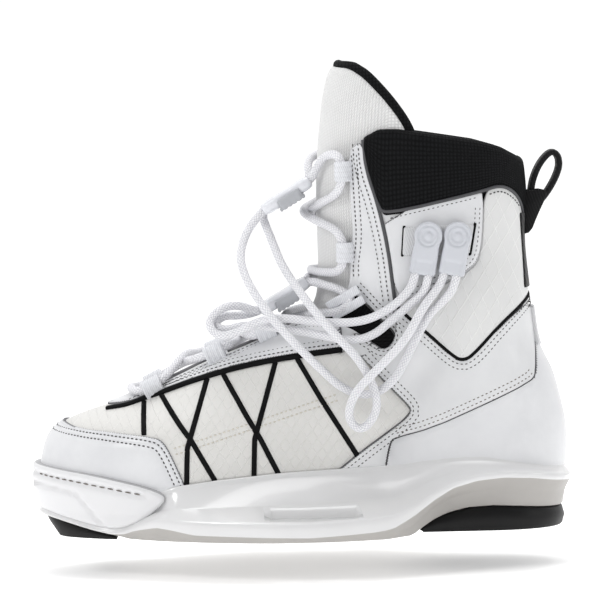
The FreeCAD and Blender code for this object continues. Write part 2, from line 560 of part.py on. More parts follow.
def lock_housing(centre):
    """Lace lock housing: two lace passages, notched ends and side grooves for the grip."""
    half, wide, high = LOCK_LENGTH / 2, LOCK_WIDTH / 2, LOCK_HEIGHT / 2
    shape = rounded_box(-half, half, -wide, wide, -high, high, 2.4)
    for y in (-STRAND_GAP, STRAND_GAP):
        shape = shape.cut(Part.makeCylinder(BORE / 2, 60, V(-30, y, 0), V(1, 0, 0)))
        for x, way in ((half - 6.0, 1), (-half + 4.0, -1)):
            shape = shape.cut(Part.makeCone(BORE / 2, 4.9, 6.2, V(x, y, 0), V(way, 0, 0)))
    groove = box(-11, 13, 8.6, 12, -1.3, 0.9)
    shape = shape.cut(groove).cut(mirrored(groove))
    shape = shape.cut(box(-9, 9, -5, 5, high - 0.6, high + 1))
    return placed(shape, centre, LOCK_LEAN)


def lock_grip(centre):
    """Sliding grip under the housing; its lips run in the housing's side grooves."""
    plate = box(-7, 9, -12, 12, -6.4, -LOCK_HEIGHT / 2 - 0.3)
    cheek = box(-7, 9, 10.3, 12, -6.4, 0.6).fuse(box(-7, 9, 8.95, 12, -0.95, 0.55))
    shape = fuse([plate, cheek, mirrored(cheek)])
    for i in range(5):
        x = -5.2 + 3.1 * i
        shape = shape.cut(box(x, x + 1.0, -20, 20, -7, -5.8))
    return placed(shape, centre, LOCK_LEAN)


def pull_handle(centre):
    """Moulded pull handle: round head with a raised ring, two blind lace bores at the tail."""
    half, wide, thick = HANDLE_LENGTH / 2, HANDLE_WIDTH / 2, HANDLE_THICK / 2
    bar = box(-half, half - wide, -thick, thick, -wide, wide)
    head = Part.makeCylinder(wide + 0.5, 2 * thick, V(half - wide, -thick, 0), V(0, 1, 0))
    shape = fuse([bar, head])
    shape = shape.makeFillet(1.4, shape.Edges)
    ring = Part.makeCylinder(6.0, 0.7, V(half - wide, -thick, 0), V(0, 1, 0))
    ring = ring.cut(Part.makeCylinder(4.2, 0.7, V(half - wide, -thick, 0), V(0, 1, 0)))
    shape = shape.cut(ring)
    for z in (-HANDLE_BORES, HANDLE_BORES):
        shape = shape.cut(Part.makeCylinder(BORE / 2, 16, V(-half - 1, 0, z), V(1, 0, 0)))
    return placed(shape, centre, math.pi / 2 - HANDLE_LEAN)


def handle_dock():
    """Flat keeper band across the patch behind the handles, dipping into its two slots."""
    band = [(56, 178), (96, 178.8), (93.5, 162.5), (55, 162.5)]
    return layer(band, 2.9, OVERLAY + 0.05, "lateral")


def whole_boot():
    """Every piece by name, cut to lie beside its neighbours."""
    pieces = {"toe_grip_pad": toe_pad(), "heel_grip_pad": heel_pad()}
    for group in (sole_stack(), upper_shells(), overlays(), collar_and_lining(), tongue(),
                  lace_loops()):
        pieces.update(group)
    pieces["toe_bumper"] = toe_bumper(pieces["toe_cap"])
    pieces["sole_chassis"] = chassis().cut(pieces["toe_bumper"])
    pieces["lining"] = pieces["lining"].cut(pieces["tongue_lower"])
    for side in ("lateral", "medial"):
        pieces["collar_pad"] = pieces["collar_pad"].cut(pieces["upper_eyestay_" + side])
        pieces["heel_counter"] = pieces["heel_counter"].cut(pieces["quarter_" + side])
        pieces["backstay_strap"] = pieces["backstay_strap"].cut(pieces["cuff_panel_" + side])
    pieces["pull_loop"] = pull_loop()
    pieces["handle_dock"] = handle_dock()
    for name, centre in LOCKS.items():
        pieces[name + "_lock_housing"] = lock_housing(centre)
        pieces[name + "_lock_grip"] = lock_grip(centre)
        pieces[name + "_pull_handle"] = pull_handle(HANDLES[name])
    routes = {"upper_lead_a": UPPER_LEAD_A, "upper_lead_b": UPPER_LEAD_B,
              "upper_lacing": UPPER_LACING, "lower_lead_a": LOWER_LEAD_A,
              "lower_lead_b": LOWER_LEAD_B, "lower_lacing": LOWER_LACING}
    for name, points in routes.items():
        pieces[name] = cord(points, name)
    for name, route in PASSAGES:
        passage = cord(routes[route], name, LACE + 2 * PASSAGE_GAP)
        pieces[name] = pieces[name].cut(passage)
    return pieces


def main():
    os.makedirs("parts", exist_ok=True)
    for name, shape in whole_boot().items():
        save(name, shape)


main()
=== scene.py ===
"""A laced wakeboard boot on its moulded chassis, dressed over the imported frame.

Lengths inside the shape classes are in millimetres and turn into metres when a mesh is made.
X runs from the toe (negative) to the heel, Z is up and the outer side of the boot is at -Y.
"""
from __future__ import annotations

import logging
import math
from collections.abc import Callable
from dataclasses import dataclass, field
from enum import Enum

import bmesh
import bpy
import numpy as np
from mathutils import Matrix, Vector
from mathutils.geometry import delaunay_2d_cdt

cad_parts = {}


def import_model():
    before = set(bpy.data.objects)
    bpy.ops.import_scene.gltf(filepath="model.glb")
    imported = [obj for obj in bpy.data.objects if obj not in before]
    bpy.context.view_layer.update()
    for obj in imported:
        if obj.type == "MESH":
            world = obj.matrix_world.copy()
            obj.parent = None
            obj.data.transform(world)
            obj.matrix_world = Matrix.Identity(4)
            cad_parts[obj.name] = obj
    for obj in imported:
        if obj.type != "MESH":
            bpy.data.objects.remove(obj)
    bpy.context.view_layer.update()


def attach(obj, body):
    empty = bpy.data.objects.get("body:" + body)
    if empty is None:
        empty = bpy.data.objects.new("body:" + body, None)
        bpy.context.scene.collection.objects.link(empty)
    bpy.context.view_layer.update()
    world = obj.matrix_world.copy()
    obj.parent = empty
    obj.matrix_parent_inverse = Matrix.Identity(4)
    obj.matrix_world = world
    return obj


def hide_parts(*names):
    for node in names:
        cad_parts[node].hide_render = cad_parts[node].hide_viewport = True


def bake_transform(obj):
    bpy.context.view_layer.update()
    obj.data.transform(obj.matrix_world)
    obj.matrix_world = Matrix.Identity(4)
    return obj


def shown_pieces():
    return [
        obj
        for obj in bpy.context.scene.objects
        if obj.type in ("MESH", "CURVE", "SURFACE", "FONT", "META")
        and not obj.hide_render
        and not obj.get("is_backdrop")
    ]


MM = 0.001
Outline = list[tuple[float, float]]
Triple = tuple[float, float, float]
Height = Callable[[np.ndarray, np.ndarray], np.ndarray]
ROUND = 165.0  # millimetres of surface in one unit of loop position


class Side(Enum):
    """Which half of the boot a piece lies on."""

    LATERAL = -1
    MEDIAL = 1


class Wrap(Enum):
    """Where a piece that covers both halves joins them."""

    FRONT = "front"
    BACK = "back"


def headings(points: np.ndarray, closed: bool = False) -> np.ndarray:
    """Unit directions along a path.

    Args:
        points: the path's points.
        closed: the path is a ring.

    Returns:
        One direction for every point.
    """
    if closed:
        way = np.roll(points, -1, axis=0) - np.roll(points, 1, axis=0)
    else:
        way = np.gradient(points, axis=0)
    return way / (np.linalg.norm(way, axis=1, keepdims=True) + 1e-9)


def circle(count: int) -> tuple[np.ndarray, np.ndarray]:
    """Cosines and sines of even steps once round."""
    angle = np.linspace(0, 2 * math.pi, count, endpoint=False)
    return np.cos(angle), np.sin(angle)


def put(points: np.ndarray, frame: np.ndarray) -> np.ndarray:
    """Points carried by a 4 by 4 placing matrix."""
    return points @ frame[:3, :3].T + frame[:3, 3]


def both(name: str) -> tuple[str, str]:
    """Names of the outer and the inner piece of a pair."""
    return f"{name}_lateral", f"{name}_medial"


# ---------------------------------------------------------------- finishes
class Nodes:
    """Short helper for making a material's node tree."""

    def __init__(self, name: str) -> None:
        """Start an empty material with one Principled shader."""
        self.material = bpy.data.materials.new(name)
        self.material.use_nodes = True
        self.tree = self.material.node_tree
        self.shader = self.tree.nodes["Principled BSDF"]

    def add(self, kind: str, **settings: object) -> bpy.types.Node:
        """Add one node and set its properties.

        Args:
            kind: Blender's node type name.
            settings: property values to set on the node.

        Returns:
            The new node.
        """
        node = self.tree.nodes.new(kind)
        for key, value in settings.items():
            setattr(node, key, value)
        return node

    def link(self, source: bpy.types.NodeSocket, target: bpy.types.NodeSocket) -> None:
        """Join two sockets."""
        self.tree.links.new(source, target)

    def maths(self, operation: str, first: object, second: object = None) -> bpy.types.NodeSocket:
        """Add a Math node fed by sockets or numbers.

        Args:
            operation: Blender's operation name.
            first: socket or number for the first input.
            second: socket or number for the second input.

        Returns:
            The result socket.
        """
        node = self.add("ShaderNodeMath", operation=operation)
        for i, value in enumerate((first, second)):
            if value is None:
                continue
            if isinstance(value, (int, float)):
                node.inputs[i].default_value = value
            else:
                self.link(value, node.inputs[i])
        return node.outputs[0]

    def place(self, use_uv: bool = False) -> bpy.types.NodeSocket:
        """Return the coordinate a texture is laid out on.

        Args:
            use_uv: take the piece's own flat layout in place of its position.

        Returns:
            A vector socket, in metres.
        """
        if use_uv:
            return self.add("ShaderNodeUVMap", uv_map="weave").outputs[0]
        return self.add("ShaderNodeTexCoord").outputs["Object"]

    def noise(self, where: bpy.types.NodeSocket, per_metre: float, detail: float = 3.0,
              rough: float = 0.5) -> bpy.types.NodeSocket:
        """Add a noise texture.

        Args:
            where: coordinate socket.
            per_metre: features per metre.
            detail: octaves.
            rough: strength of the finer octaves.

        Returns:
            The noise factor socket.
        """
        node = self.add("ShaderNodeTexNoise")
        node.inputs["Scale"].default_value = per_metre
        node.inputs["Detail"].default_value = detail
        node.inputs["Roughness"].default_value = rough
        self.link(where, node.inputs["Vector"])
        return node.outputs["Fac"]

    def spread(self, value: bpy.types.NodeSocket, low: float, high: float) -> bpy.types.NodeSocket:
        """Map a 0 to 1 value onto a range.

        Args:
            value: socket to map.
            low: result at 0.
            high: result at 1.

        Returns:
            The mapped socket.
        """
        node = self.add("ShaderNodeMapRange")
        node.inputs["To Min"].default_value = low
        node.inputs["To Max"].default_value = high
        self.link(value, node.inputs["Value"])
        return node.outputs["Result"]

    def blend(self, factor: bpy.types.NodeSocket, first: Triple, second: Triple) -> bpy.types.NodeSocket:
        """Mix two colours.

        Args:
            factor: socket from 0 to 1.
            first: colour at 0.
            second: colour at 1.

        Returns:
            The colour socket.
        """
        node = self.add("ShaderNodeMix", data_type="RGBA")
        node.inputs["A"].default_value = (*first, 1)
        node.inputs["B"].default_value = (*second, 1)
        self.link(factor, node.inputs["Factor"])
        return next(out for out in node.outputs if out.type == "RGBA")

    def bump(self, height: bpy.types.NodeSocket, depth_mm: float, strength: float = 1.0,
             under: bpy.types.NodeSocket | None = None) -> bpy.types.NodeSocket:
        """Turn a height into a normal.

        Args:
            height: socket from 0 to 1.
            depth_mm: relief in millimetres.
            strength: how strongly it shows.
            under: normal of a coarser bump below this one.

        Returns:
            The normal socket.
        """
        node = self.add("ShaderNodeBump")
        node.inputs["Distance"].default_value = depth_mm * MM
        node.inputs["Strength"].default_value = strength
        self.link(height, node.inputs["Height"])
        if under is not None:
            self.link(under, node.inputs["Normal"])
        return node.outputs[0]

    def stripes(self, where: bpy.types.NodeSocket, angle: float, pitch: float, share: float
                ) -> bpy.types.NodeSocket:
        """Fine straight lines repeated across the XZ plane.

        Args:
            where: coordinate socket.
            angle: direction across the lines, in degrees from +X towards +Z.
            pitch: distance between lines in millimetres.
            share: share of the pitch that one line takes.

        Returns:
            A socket that is 1 on a line and 0 between lines.
        """
        split = self.add("ShaderNodeSeparateXYZ")
        self.link(where, split.inputs[0])
        turn = math.radians(angle)
        across = self.maths("ADD", self.maths("MULTIPLY", split.outputs[0], math.cos(turn) / pitch / MM),
                            self.maths("MULTIPLY", split.outputs[2], math.sin(turn) / pitch / MM))
        wave = self.maths("PINGPONG", across, 0.5)
        return self.maths("SUBTRACT", 1.0, self.maths("SMOOTH_MIN", self.maths(
            "DIVIDE", wave, share / 2), 1.0))


@dataclass(frozen=True)
class Leather:
    """Smooth coated leather with a fine grain and soft creases."""

    name: str = "leather"
    colour: Triple = (0.70, 0.705, 0.72)
    shade: Triple = (0.61, 0.615, 0.635)
    roughness: float = 0.36

    def make(self) -> bpy.types.Material:
        """Build the material."""
        n = Nodes(self.name)
        where = n.place()
        grain = n.add("ShaderNodeTexVoronoi", feature="DISTANCE_TO_EDGE")
        grain.inputs["Scale"].default_value = 1500
        n.link(where, grain.inputs["Vector"])
        wear = n.noise(where, 38, 4, 0.6)
        n.link(n.blend(n.spread(wear, -0.5, 1.1), self.colour, self.shade),
               n.shader.inputs["Base Color"])
        n.link(n.spread(n.noise(where, 220, 3), self.roughness - 0.08, self.roughness + 0.12),
               n.shader.inputs["Roughness"])
        creases = n.bump(n.noise(where, 75, 3, 0.55), 0.7, 0.32)
        n.link(n.bump(grain.outputs["Distance"], 0.05, 0.35, creases), n.shader.inputs["Normal"])
        n.shader.inputs["Coat Weight"].default_value = 0.25
        n.shader.inputs["Coat Roughness"].default_value = 0.3
        return n.material


@dataclass(frozen=True)
class Ripstop:
    """Plain weave crossed by thicker reinforcing threads."""

    name: str
    colour: Triple
    line: Triple
    angles: tuple[float, float]
    pitch: float
    share: float = 0.10

    def make(self) -> bpy.types.Material:
        """Build the material."""
        n = Nodes(self.name)
        where = n.place()
        grid = n.maths("MAXIMUM", n.stripes(where, self.angles[0], self.pitch, self.share),
                       n.stripes(where, self.angles[1], self.pitch, self.share))
        weave = n.maths("MULTIPLY", n.stripes(where, 0, 0.55, 0.9), n.stripes(where, 90, 0.55, 0.9))
        soft = n.noise(where, 30, 3, 0.5)
        tone = n.maths("ADD", n.maths("MULTIPLY", grid, 0.65), n.maths("MULTIPLY", soft, 0.25))
        n.link(n.blend(tone, self.colour, self.line), n.shader.inputs["Base Color"])
        n.link(n.spread(n.noise(where, 300, 2), 0.42, 0.62), n.shader.inputs["Roughness"])
        waves = n.bump(n.noise(where, 55, 2, 0.5), 0.8, 0.3)
        lines = n.bump(grid, 0.25, 0.8, waves)
        n.link(n.bump(weave, 0.06, 0.5, lines), n.shader.inputs["Normal"])
        n.shader.inputs["Sheen Weight"].default_value = 0.15
        return n.material


@dataclass(frozen=True)
class Weave:
    """Coarse crossing weave laid out on the piece's own flat layout."""

    name: str
    colour: Triple
    gap: Triple
    pitch: float
    depth: float = 0.25
    roughness: float = 0.8
    sheen: float = 0.2
    shine: float = 0.5

    def make(self) -> bpy.types.Material:
        """Build the material."""
        n = Nodes(self.name)
        n.shader.inputs["Specular IOR Level"].default_value = self.shine
        split = n.add("ShaderNodeSeparateXYZ")
        n.link(n.place(use_uv=True), split.inputs[0])
        turns = math.pi / (self.pitch * MM)
        across = n.maths("SINE", n.maths("MULTIPLY", split.outputs[0], turns))
        along = n.maths("SINE", n.maths("MULTIPLY", split.outputs[1], turns))
        cross = n.maths("MULTIPLY", across, along)
        knots = n.maths("ABSOLUTE", cross)
        tone = n.maths("ADD", n.maths("MULTIPLY", knots, 0.8),
                       n.maths("MULTIPLY", n.noise(n.place(), 90, 3), 0.25))
        n.link(n.blend(tone, self.gap, self.colour), n.shader.inputs["Base Color"])
        n.link(n.bump(n.maths("POWER", knots, 0.5), self.depth, 0.9), n.shader.inputs["Normal"])
        n.link(n.spread(n.noise(n.place(), 400, 2), self.roughness - 0.1, self.roughness + 0.1),
               n.shader.inputs["Roughness"])
        n.shader.inputs["Sheen Weight"].default_value = self.sheen
        return n.material


@dataclass(frozen=True)
class Braid:
    """Round braid: strands that cross on the slant, laid out along a tube."""

    name: str
    colour: Triple
    gap: Triple
    across: float
    along: float

    def make(self) -> bpy.types.Material:
        """Build the material."""
        n = Nodes(self.name)
        split = n.add("ShaderNodeSeparateXYZ")
        n.link(n.place(use_uv=True), split.inputs[0])
        round_it = n.maths("MULTIPLY", split.outputs[0], math.pi / (self.across * MM))
        down_it = n.maths("MULTIPLY", split.outputs[1], math.pi / (self.along * MM))
        one = n.maths("SINE", n.maths("ADD", round_it, down_it))
        other = n.maths("SINE", n.maths("SUBTRACT", round_it, down_it))
        knots = n.maths("POWER", n.maths("ABSOLUTE", n.maths("MULTIPLY", one, other)), 0.45)
        tone = n.maths("ADD", knots, n.maths("MULTIPLY", n.noise(n.place(), 120, 3), 0.15))
        n.link(n.blend(tone, self.gap, self.colour), n.shader.inputs["Base Color"])
        n.link(n.bump(knots, 0.4, 1.0), n.shader.inputs["Normal"])
        n.link(n.spread(n.noise(n.place(), 400, 2), 0.55, 0.75), n.shader.inputs["Roughness"])
        return n.material


@dataclass(frozen=True)
class Moulded:
    """Moulded plastic or rubber with faint flow marks and uneven polish."""

    name: str
    colour: Triple
    shade: Triple
    roughness: float
    coat: float = 0.0
    grain_mm: float = 0.03
    grain_per_metre: float = 2500.0
    shine: float = 0.5

    def make(self) -> bpy.types.Material:
        """Build the material."""
        n = Nodes(self.name)
        n.shader.inputs["Specular IOR Level"].default_value = self.shine
        where = n.place()
        n.link(n.blend(n.spread(n.noise(where, 24, 4, 0.6), -0.4, 1.2), self.colour, self.shade),
               n.shader.inputs["Base Color"])
        n.link(n.spread(n.noise(where, 160, 4), self.roughness * 0.75, self.roughness * 1.3),
               n.shader.inputs["Roughness"])
        broad = n.bump(n.noise(where, 45, 2), 0.35, 0.12)
        n.link(n.bump(n.noise(where, self.grain_per_metre, 2), self.grain_mm, 0.4, broad),
               n.shader.inputs["Normal"])
        n.shader.inputs["Coat Weight"].default_value = self.coat
        n.shader.inputs["Coat Roughness"].default_value = 0.08
        return n.material


@dataclass(frozen=True)
class Ribbed:
    """Woven webbing with fine ribs, laid out on position."""

    name: str
    colour: Triple
    shade: Triple
    pitch: float = 1.1
    shine: float = 0.5

    def make(self) -> bpy.types.Material:
        """Build the material."""
        n = Nodes(self.name)
        n.shader.inputs["Specular IOR Level"].default_value = self.shine
        where = n.place()
        ribs = n.stripes(where, 20, self.pitch, 0.7)
        cross = n.stripes(where, 110, self.pitch * 0.45, 0.8)
        tone = n.maths("ADD", n.maths("MULTIPLY", ribs, 0.6), n.maths("MULTIPLY", cross, 0.25))
        n.link(n.blend(tone, self.colour, self.shade), n.shader.inputs["Base Color"])
        n.link(n.bump(cross, 0.1, 0.5, n.bump(ribs, 0.25, 0.7)), n.shader.inputs["Normal"])
        n.link(n.spread(n.noise(where, 200, 2), 0.55, 0.8), n.shader.inputs["Roughness"])
        n.shader.inputs["Sheen Weight"].default_value = 0.2
        return n.material


class Wardrobe:
    """All finishes of the boot, each made once."""

    def __init__(self) -> None:
        """Build every material."""
        finishes = [
            Leather(),
            Leather("leather_warm", (0.69, 0.695, 0.705), (0.60, 0.605, 0.62), 0.40),
            Ripstop("vamp_ripstop", (0.66, 0.652, 0.63), (0.80, 0.795, 0.78), (143.0, 30.0), 5.2, 0.11),
            Ripstop("cuff_ripstop", (0.64, 0.642, 0.64), (0.82, 0.82, 0.815), (22.0, 146.0), 7.6, 0.10),
            Weave("tongue_mesh", (0.83, 0.83, 0.825), (0.60, 0.60, 0.60), 1.9, 0.3, 0.72),
            Weave("black_mesh", (0.009, 0.0095, 0.0105), (0.0004, 0.0004, 0.0006), 1.9, 0.5, 0.8, 0.0,
                  0.12),
            Weave("lining_fabric", (0.012, 0.012, 0.014), (0.004, 0.004, 0.005), 1.2, 0.15, 0.85, 0.0,
                  0.12),
            Moulded("chassis_gloss", (0.70, 0.70, 0.705), (0.66, 0.66, 0.665), 0.2, 0.6, 0.01),
            # painted shade: this darker warm-grey copy of the white chassis plastic stands in for the
            # shadow on the concave wall and underside below the flange
            Moulded("chassis_painted_shade", (0.42, 0.405, 0.385), (0.37, 0.355, 0.34), 0.42),
            Moulded("bumper_rubber", (0.71, 0.71, 0.72), (0.67, 0.67, 0.685), 0.36, 0.15, 0.02),
            Moulded("grip_rubber", (0.004, 0.004, 0.0042), (0.006, 0.006, 0.0065), 0.42, 0.0, 0.06, 900,
                    0.22),
            Moulded("black_strip", (0.004, 0.004, 0.0045), (0.007, 0.007, 0.0075), 0.75, 0.0, 0.08, 1500,
                    0.1),
            Moulded("grey_strip", (0.05, 0.05, 0.055), (0.08, 0.08, 0.085), 0.6, 0.0, 0.05),
            Moulded("lock_plastic", (0.74, 0.75, 0.785), (0.68, 0.69, 0.73), 0.28, 0.3),
            Moulded("grip_plastic", (0.44, 0.45, 0.475), (0.38, 0.39, 0.415), 0.4),
            Moulded("handle_plastic", (0.57, 0.585, 0.625), (0.52, 0.535, 0.58), 0.38, 0.15, 0.04),
            Moulded("thread_dark", (0.035, 0.034, 0.034), (0.07, 0.068, 0.065), 0.8, 0.0, 0.1, 3000),
            Moulded("thread_brown", (0.13, 0.115, 0.10), (0.20, 0.175, 0.155), 0.8, 0.0, 0.1, 3000),
            Moulded("thread_cream", (0.56, 0.53, 0.46), (0.66, 0.63, 0.56), 0.7, 0.0, 0.1, 3000),
            Braid("lace_braid", (0.90, 0.90, 0.92), (0.58, 0.58, 0.64), 15.7 / 8, 2.3),
            Moulded("foam", (0.6, 0.6, 0.6), (0.5, 0.5, 0.5), 0.8),
            Ribbed("loop_webbing", (0.78, 0.79, 0.82), (0.55, 0.56, 0.60)),
            Ribbed("black_webbing", (0.004, 0.004, 0.0045), (0.012, 0.012, 0.013), 1.6, 0.12),
            Ribbed("grey_webbing", (0.58, 0.585, 0.60), (0.70, 0.705, 0.72), 1.4),
            Moulded("cut_edge", (0.13, 0.13, 0.14), (0.22, 0.22, 0.23), 0.7),
            Moulded("shadow_edge", (0.38, 0.38, 0.39), (0.46, 0.46, 0.47), 0.6),
        ]
        self.made = {finish.name: finish.make() for finish in finishes}

    def __getitem__(self, name: str) -> bpy.types.Material:
        """Return a material by its finish name."""
        return self.made[name]


# ---------------------------------------------------------------- mesh helpers
class Workshop:
    """Makes mesh objects, hangs each on the body it rides on and hides the imported nodes it stands for."""

    def __init__(self, wardrobe: Wardrobe) -> None:
        """Keep the finishes at hand."""
        self.wardrobe = wardrobe

    def piece(self, name: str, points: np.ndarray, faces: list[tuple[int, ...]], finish: str,
              body: str = "boot", nodes: tuple[str, ...] = (), slot: str = "",
              uv: np.ndarray | None = None, extra: tuple[str, ...] = (),
              face_finish: list[int] | None = None,
              wrap: float = 0.0) -> bpy.types.Object:
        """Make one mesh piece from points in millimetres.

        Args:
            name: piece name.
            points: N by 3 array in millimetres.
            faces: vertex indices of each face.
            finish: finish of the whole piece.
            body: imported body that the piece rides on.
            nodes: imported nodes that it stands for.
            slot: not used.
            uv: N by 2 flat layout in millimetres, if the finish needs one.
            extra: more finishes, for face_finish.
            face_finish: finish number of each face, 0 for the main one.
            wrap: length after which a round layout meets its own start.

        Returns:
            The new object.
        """
        mesh = bpy.data.meshes.new(name)
        mesh.from_pydata([tuple(p) for p in np.asarray(points) * MM], [], faces)
        obj = bpy.data.objects.new(name, mesh)
        bpy.context.scene.collection.objects.link(obj)
        for key in (finish, *extra):
            mesh.materials.append(self.wardrobe[key])
        if face_finish is not None:
            mesh.polygons.foreach_set("material_index", face_finish)
        layer = mesh.uv_layers.new(name="weave")
        flat = uv if uv is not None else np.asarray(points)[:, (0, 2)]
        loops = np.empty(len(mesh.loops), dtype=np.int32)
        mesh.loops.foreach_get("vertex_index", loops)
        laid = np.array(np.asarray(flat)[loops], dtype=float)
        if wrap:
            self.close_round(mesh, laid, wrap)
        layer.data.foreach_set("uv", (laid * MM).ravel())
        mesh.validate()
        self.face_outwards(mesh)
        mesh.shade_smooth()
        self.assign(obj, body, nodes, slot)
        return obj

    @staticmethod
    def close_round(mesh: bpy.types.Mesh, laid: np.ndarray, wrap: float) -> None:
        """Carry a round layout on past its start in the faces that close the tube.

        Args:
            mesh: the tube's mesh.
            laid: layout of every face corner, changed in place.
            wrap: length once round.
        """
        sizes = np.empty(len(mesh.polygons), dtype=np.int32)
        starts = np.empty(len(mesh.polygons), dtype=np.int32)
        mesh.polygons.foreach_get("loop_total", sizes)
        mesh.polygons.foreach_get("loop_start", starts)
        corners = starts[sizes == 4][:, None] + np.arange(4)
        around = laid[corners, 0]
        split = (around.max(axis=1) - around.min(axis=1)) > wrap / 2
        around[split] += np.where(around[split] < wrap / 2, wrap, 0.0)
        laid[corners, 0] = around

    @staticmethod
    def face_outwards(mesh: bpy.types.Mesh) -> None:
        """Turn every closed part's faces outwards."""
        work = bmesh.new()
        work.from_mesh(mesh)
        bmesh.ops.recalc_face_normals(work, faces=work.faces)
        work.to_mesh(mesh)
        work.free()

    @staticmethod
    def assign(obj: bpy.types.Object, body: str, nodes: tuple[str, ...], slot: str) -> None:
        """Hang a piece on the body it rides on and hide the imported nodes it stands for."""
        if body:
            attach(obj, body)
        if nodes:
            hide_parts(*nodes)

    @staticmethod
    def finish_modifiers(obj: bpy.types.Object) -> None:
        """Apply every modifier so that the mesh itself holds the shape."""
        graph = bpy.context.evaluated_depsgraph_get()
        mesh = bpy.data.meshes.new_from_object(obj.evaluated_get(graph))
        old = obj.data
        obj.modifiers.clear()
        obj.data = mesh
        bpy.data.meshes.remove(old)

    def subdivide(self, obj: bpy.types.Object, levels: int = 1) -> None:
        """Smooth a piece by subdivision and keep the result."""
        modifier = obj.modifiers.new("smooth", "SUBSURF")
        modifier.levels = modifier.render_levels = levels
        self.finish_modifiers(obj)

    def cut(self, obj: bpy.types.Object, cutters: list[bpy.types.Object]) -> None:
        """Cut shapes out of a piece and remove the cutters.

        Args:
            obj: piece to cut.
            cutters: closed shapes to take away.
        """
        for cutter in cutters:
            modifier = obj.modifiers.new("cut", "BOOLEAN")
            modifier.operation = "DIFFERENCE"
            modifier.solver = "EXACT"
            modifier.object = cutter
        self.finish_modifiers(obj)
        for cutter in cutters:
            mesh = cutter.data
            bpy.data.objects.remove(cutter)
            bpy.data.meshes.remove(mesh)

    @staticmethod
    def grid_faces(rows: int, columns: int, closed: bool = False) -> list[tuple[int, ...]]:
        """Faces of a grid of points stored row by row.

        Args:
            rows: number of rows.
            columns: points in a row.
            closed: join each row's last point to its first.

        Returns:
            Four-sided faces.
        """
        faces = []
        for r in range(rows - 1):
            for c in range(columns if closed else columns - 1):
                d = (c + 1) % columns
                faces.append((r * columns + c, r * columns + d, (r + 1) * columns + d,
                              (r + 1) * columns + c))
        return faces

    def loft(self, name: str, rings: list[np.ndarray], finish: str, body: str = "boot",
             nodes: tuple[str, ...] = (), slot: str = "", levels: int = 0,
             uv: np.ndarray | None = None, wrap: float = 0.0) -> bpy.types.Object:
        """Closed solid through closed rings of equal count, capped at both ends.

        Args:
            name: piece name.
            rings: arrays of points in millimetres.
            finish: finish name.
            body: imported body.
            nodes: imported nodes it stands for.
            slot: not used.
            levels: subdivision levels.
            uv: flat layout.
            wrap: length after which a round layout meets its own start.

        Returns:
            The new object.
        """
        count = len(rings[0])
        faces = self.grid_faces(len(rings), count, closed=True)
        faces.append(tuple(range(count)))
        faces.append(tuple((len(rings) - 1) * count + i for i in range(count)))
        obj = self.piece(name, np.vstack(rings), faces, finish, body, nodes, slot, uv, wrap=wrap)
        if levels:
            self.subdivide(obj, levels)
        return obj

    def tube(self, name: str, path: np.ndarray, radius: float, finish: str, body: str = "boot",
             nodes: tuple[str, ...] = (), slot: str = "", sides: int = 10,
             flat: float = 1.0, up: np.ndarray | None = None) -> bpy.types.Object:
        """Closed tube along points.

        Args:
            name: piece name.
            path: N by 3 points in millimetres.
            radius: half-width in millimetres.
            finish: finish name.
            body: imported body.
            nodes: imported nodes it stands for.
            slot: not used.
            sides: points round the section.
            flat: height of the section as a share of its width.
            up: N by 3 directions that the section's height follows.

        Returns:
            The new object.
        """
        tangent = headings(path)
        normal = carried_normals(tangent) if up is None else up
        across = np.cross(tangent, normal)
        across /= np.linalg.norm(across, axis=1, keepdims=True)
        normal = np.cross(across, tangent)
        c, s = circle(sides)
        rings = [path[i] + radius * (np.outer(c, across[i]) + flat * np.outer(s, normal[i]))
                 for i in range(len(path))]
        return self.loft(name, rings, finish, body, nodes, slot)


def carried_normals(tangent: np.ndarray) -> np.ndarray:
    """Directions square to a path that turn as little as possible along it."""
    start = np.cross(tangent[0], (0.0, 0.0, 1.0))
    if np.linalg.norm(start) < 0.1:
        start = np.cross(tangent[0], (0.0, 1.0, 0.0))
    normals = [start / np.linalg.norm(start)]
    for direction in tangent[1:]:
        carried = normals[-1] - direction * np.dot(normals[-1], direction)
        normals.append(carried / np.linalg.norm(carried))
    return np.array(normals)


def resample(points: np.ndarray, spacing: float, closed: bool = False) -> np.ndarray:
    """Even points along a polyline.

    Args:
        points: N by D points.
        spacing: wanted distance.
        closed: join the last point to the first.

    Returns:
        The new points.
    """
    line = np.vstack([points, points[:1]]) if closed else np.asarray(points, dtype=float)
    steps = np.linalg.norm(np.diff(line, axis=0), axis=1)
    along = np.concatenate([[0], np.cumsum(steps)])
    count = max(3, int(round(along[-1] / spacing)))
    wanted = np.linspace(0, along[-1], count + 1)
    new = np.column_stack([np.interp(wanted, along, line[:, d]) for d in range(line.shape[1])])
    return new[:-1] if closed else new


def soften(points: Outline, rounds: int, closed: bool = True) -> Outline:
    """Round the corners of an outline by cutting them again and again.

    Args:
        points: outline points.
        rounds: how many times to cut.
        closed: treat the outline as a ring.

    Returns:
        The softened outline.
    """
    for _ in range(rounds):
        count = len(points)
        new = [] if closed else [points[0]]
        for i in range(count if closed else count - 1):
            (ax, az), (bx, bz) = points[i], points[(i + 1) % count]
            new.append((ax * 0.75 + bx * 0.25, az * 0.75 + bz * 0.25))
            new.append((ax * 0.25 + bx * 0.75, az * 0.25 + bz * 0.75))
        if not closed:
            new.append(points[-1])
        points = new
    return points


def ribbon(points: Outline, width: float) -> Outline:
    """Outline of a strip of one width along a polyline.

    Args:
        points: middle line.
        width: strip width.

    Returns:
        The closed outline.
    """
    line = np.array(points, dtype=float)
    direction = headings(line)
    offset = np.column_stack([-direction[:, 1], direction[:, 0]]) * width / 2
    return [tuple(p) for p in line + offset] + [tuple(p) for p in (line - offset)[::-1]]


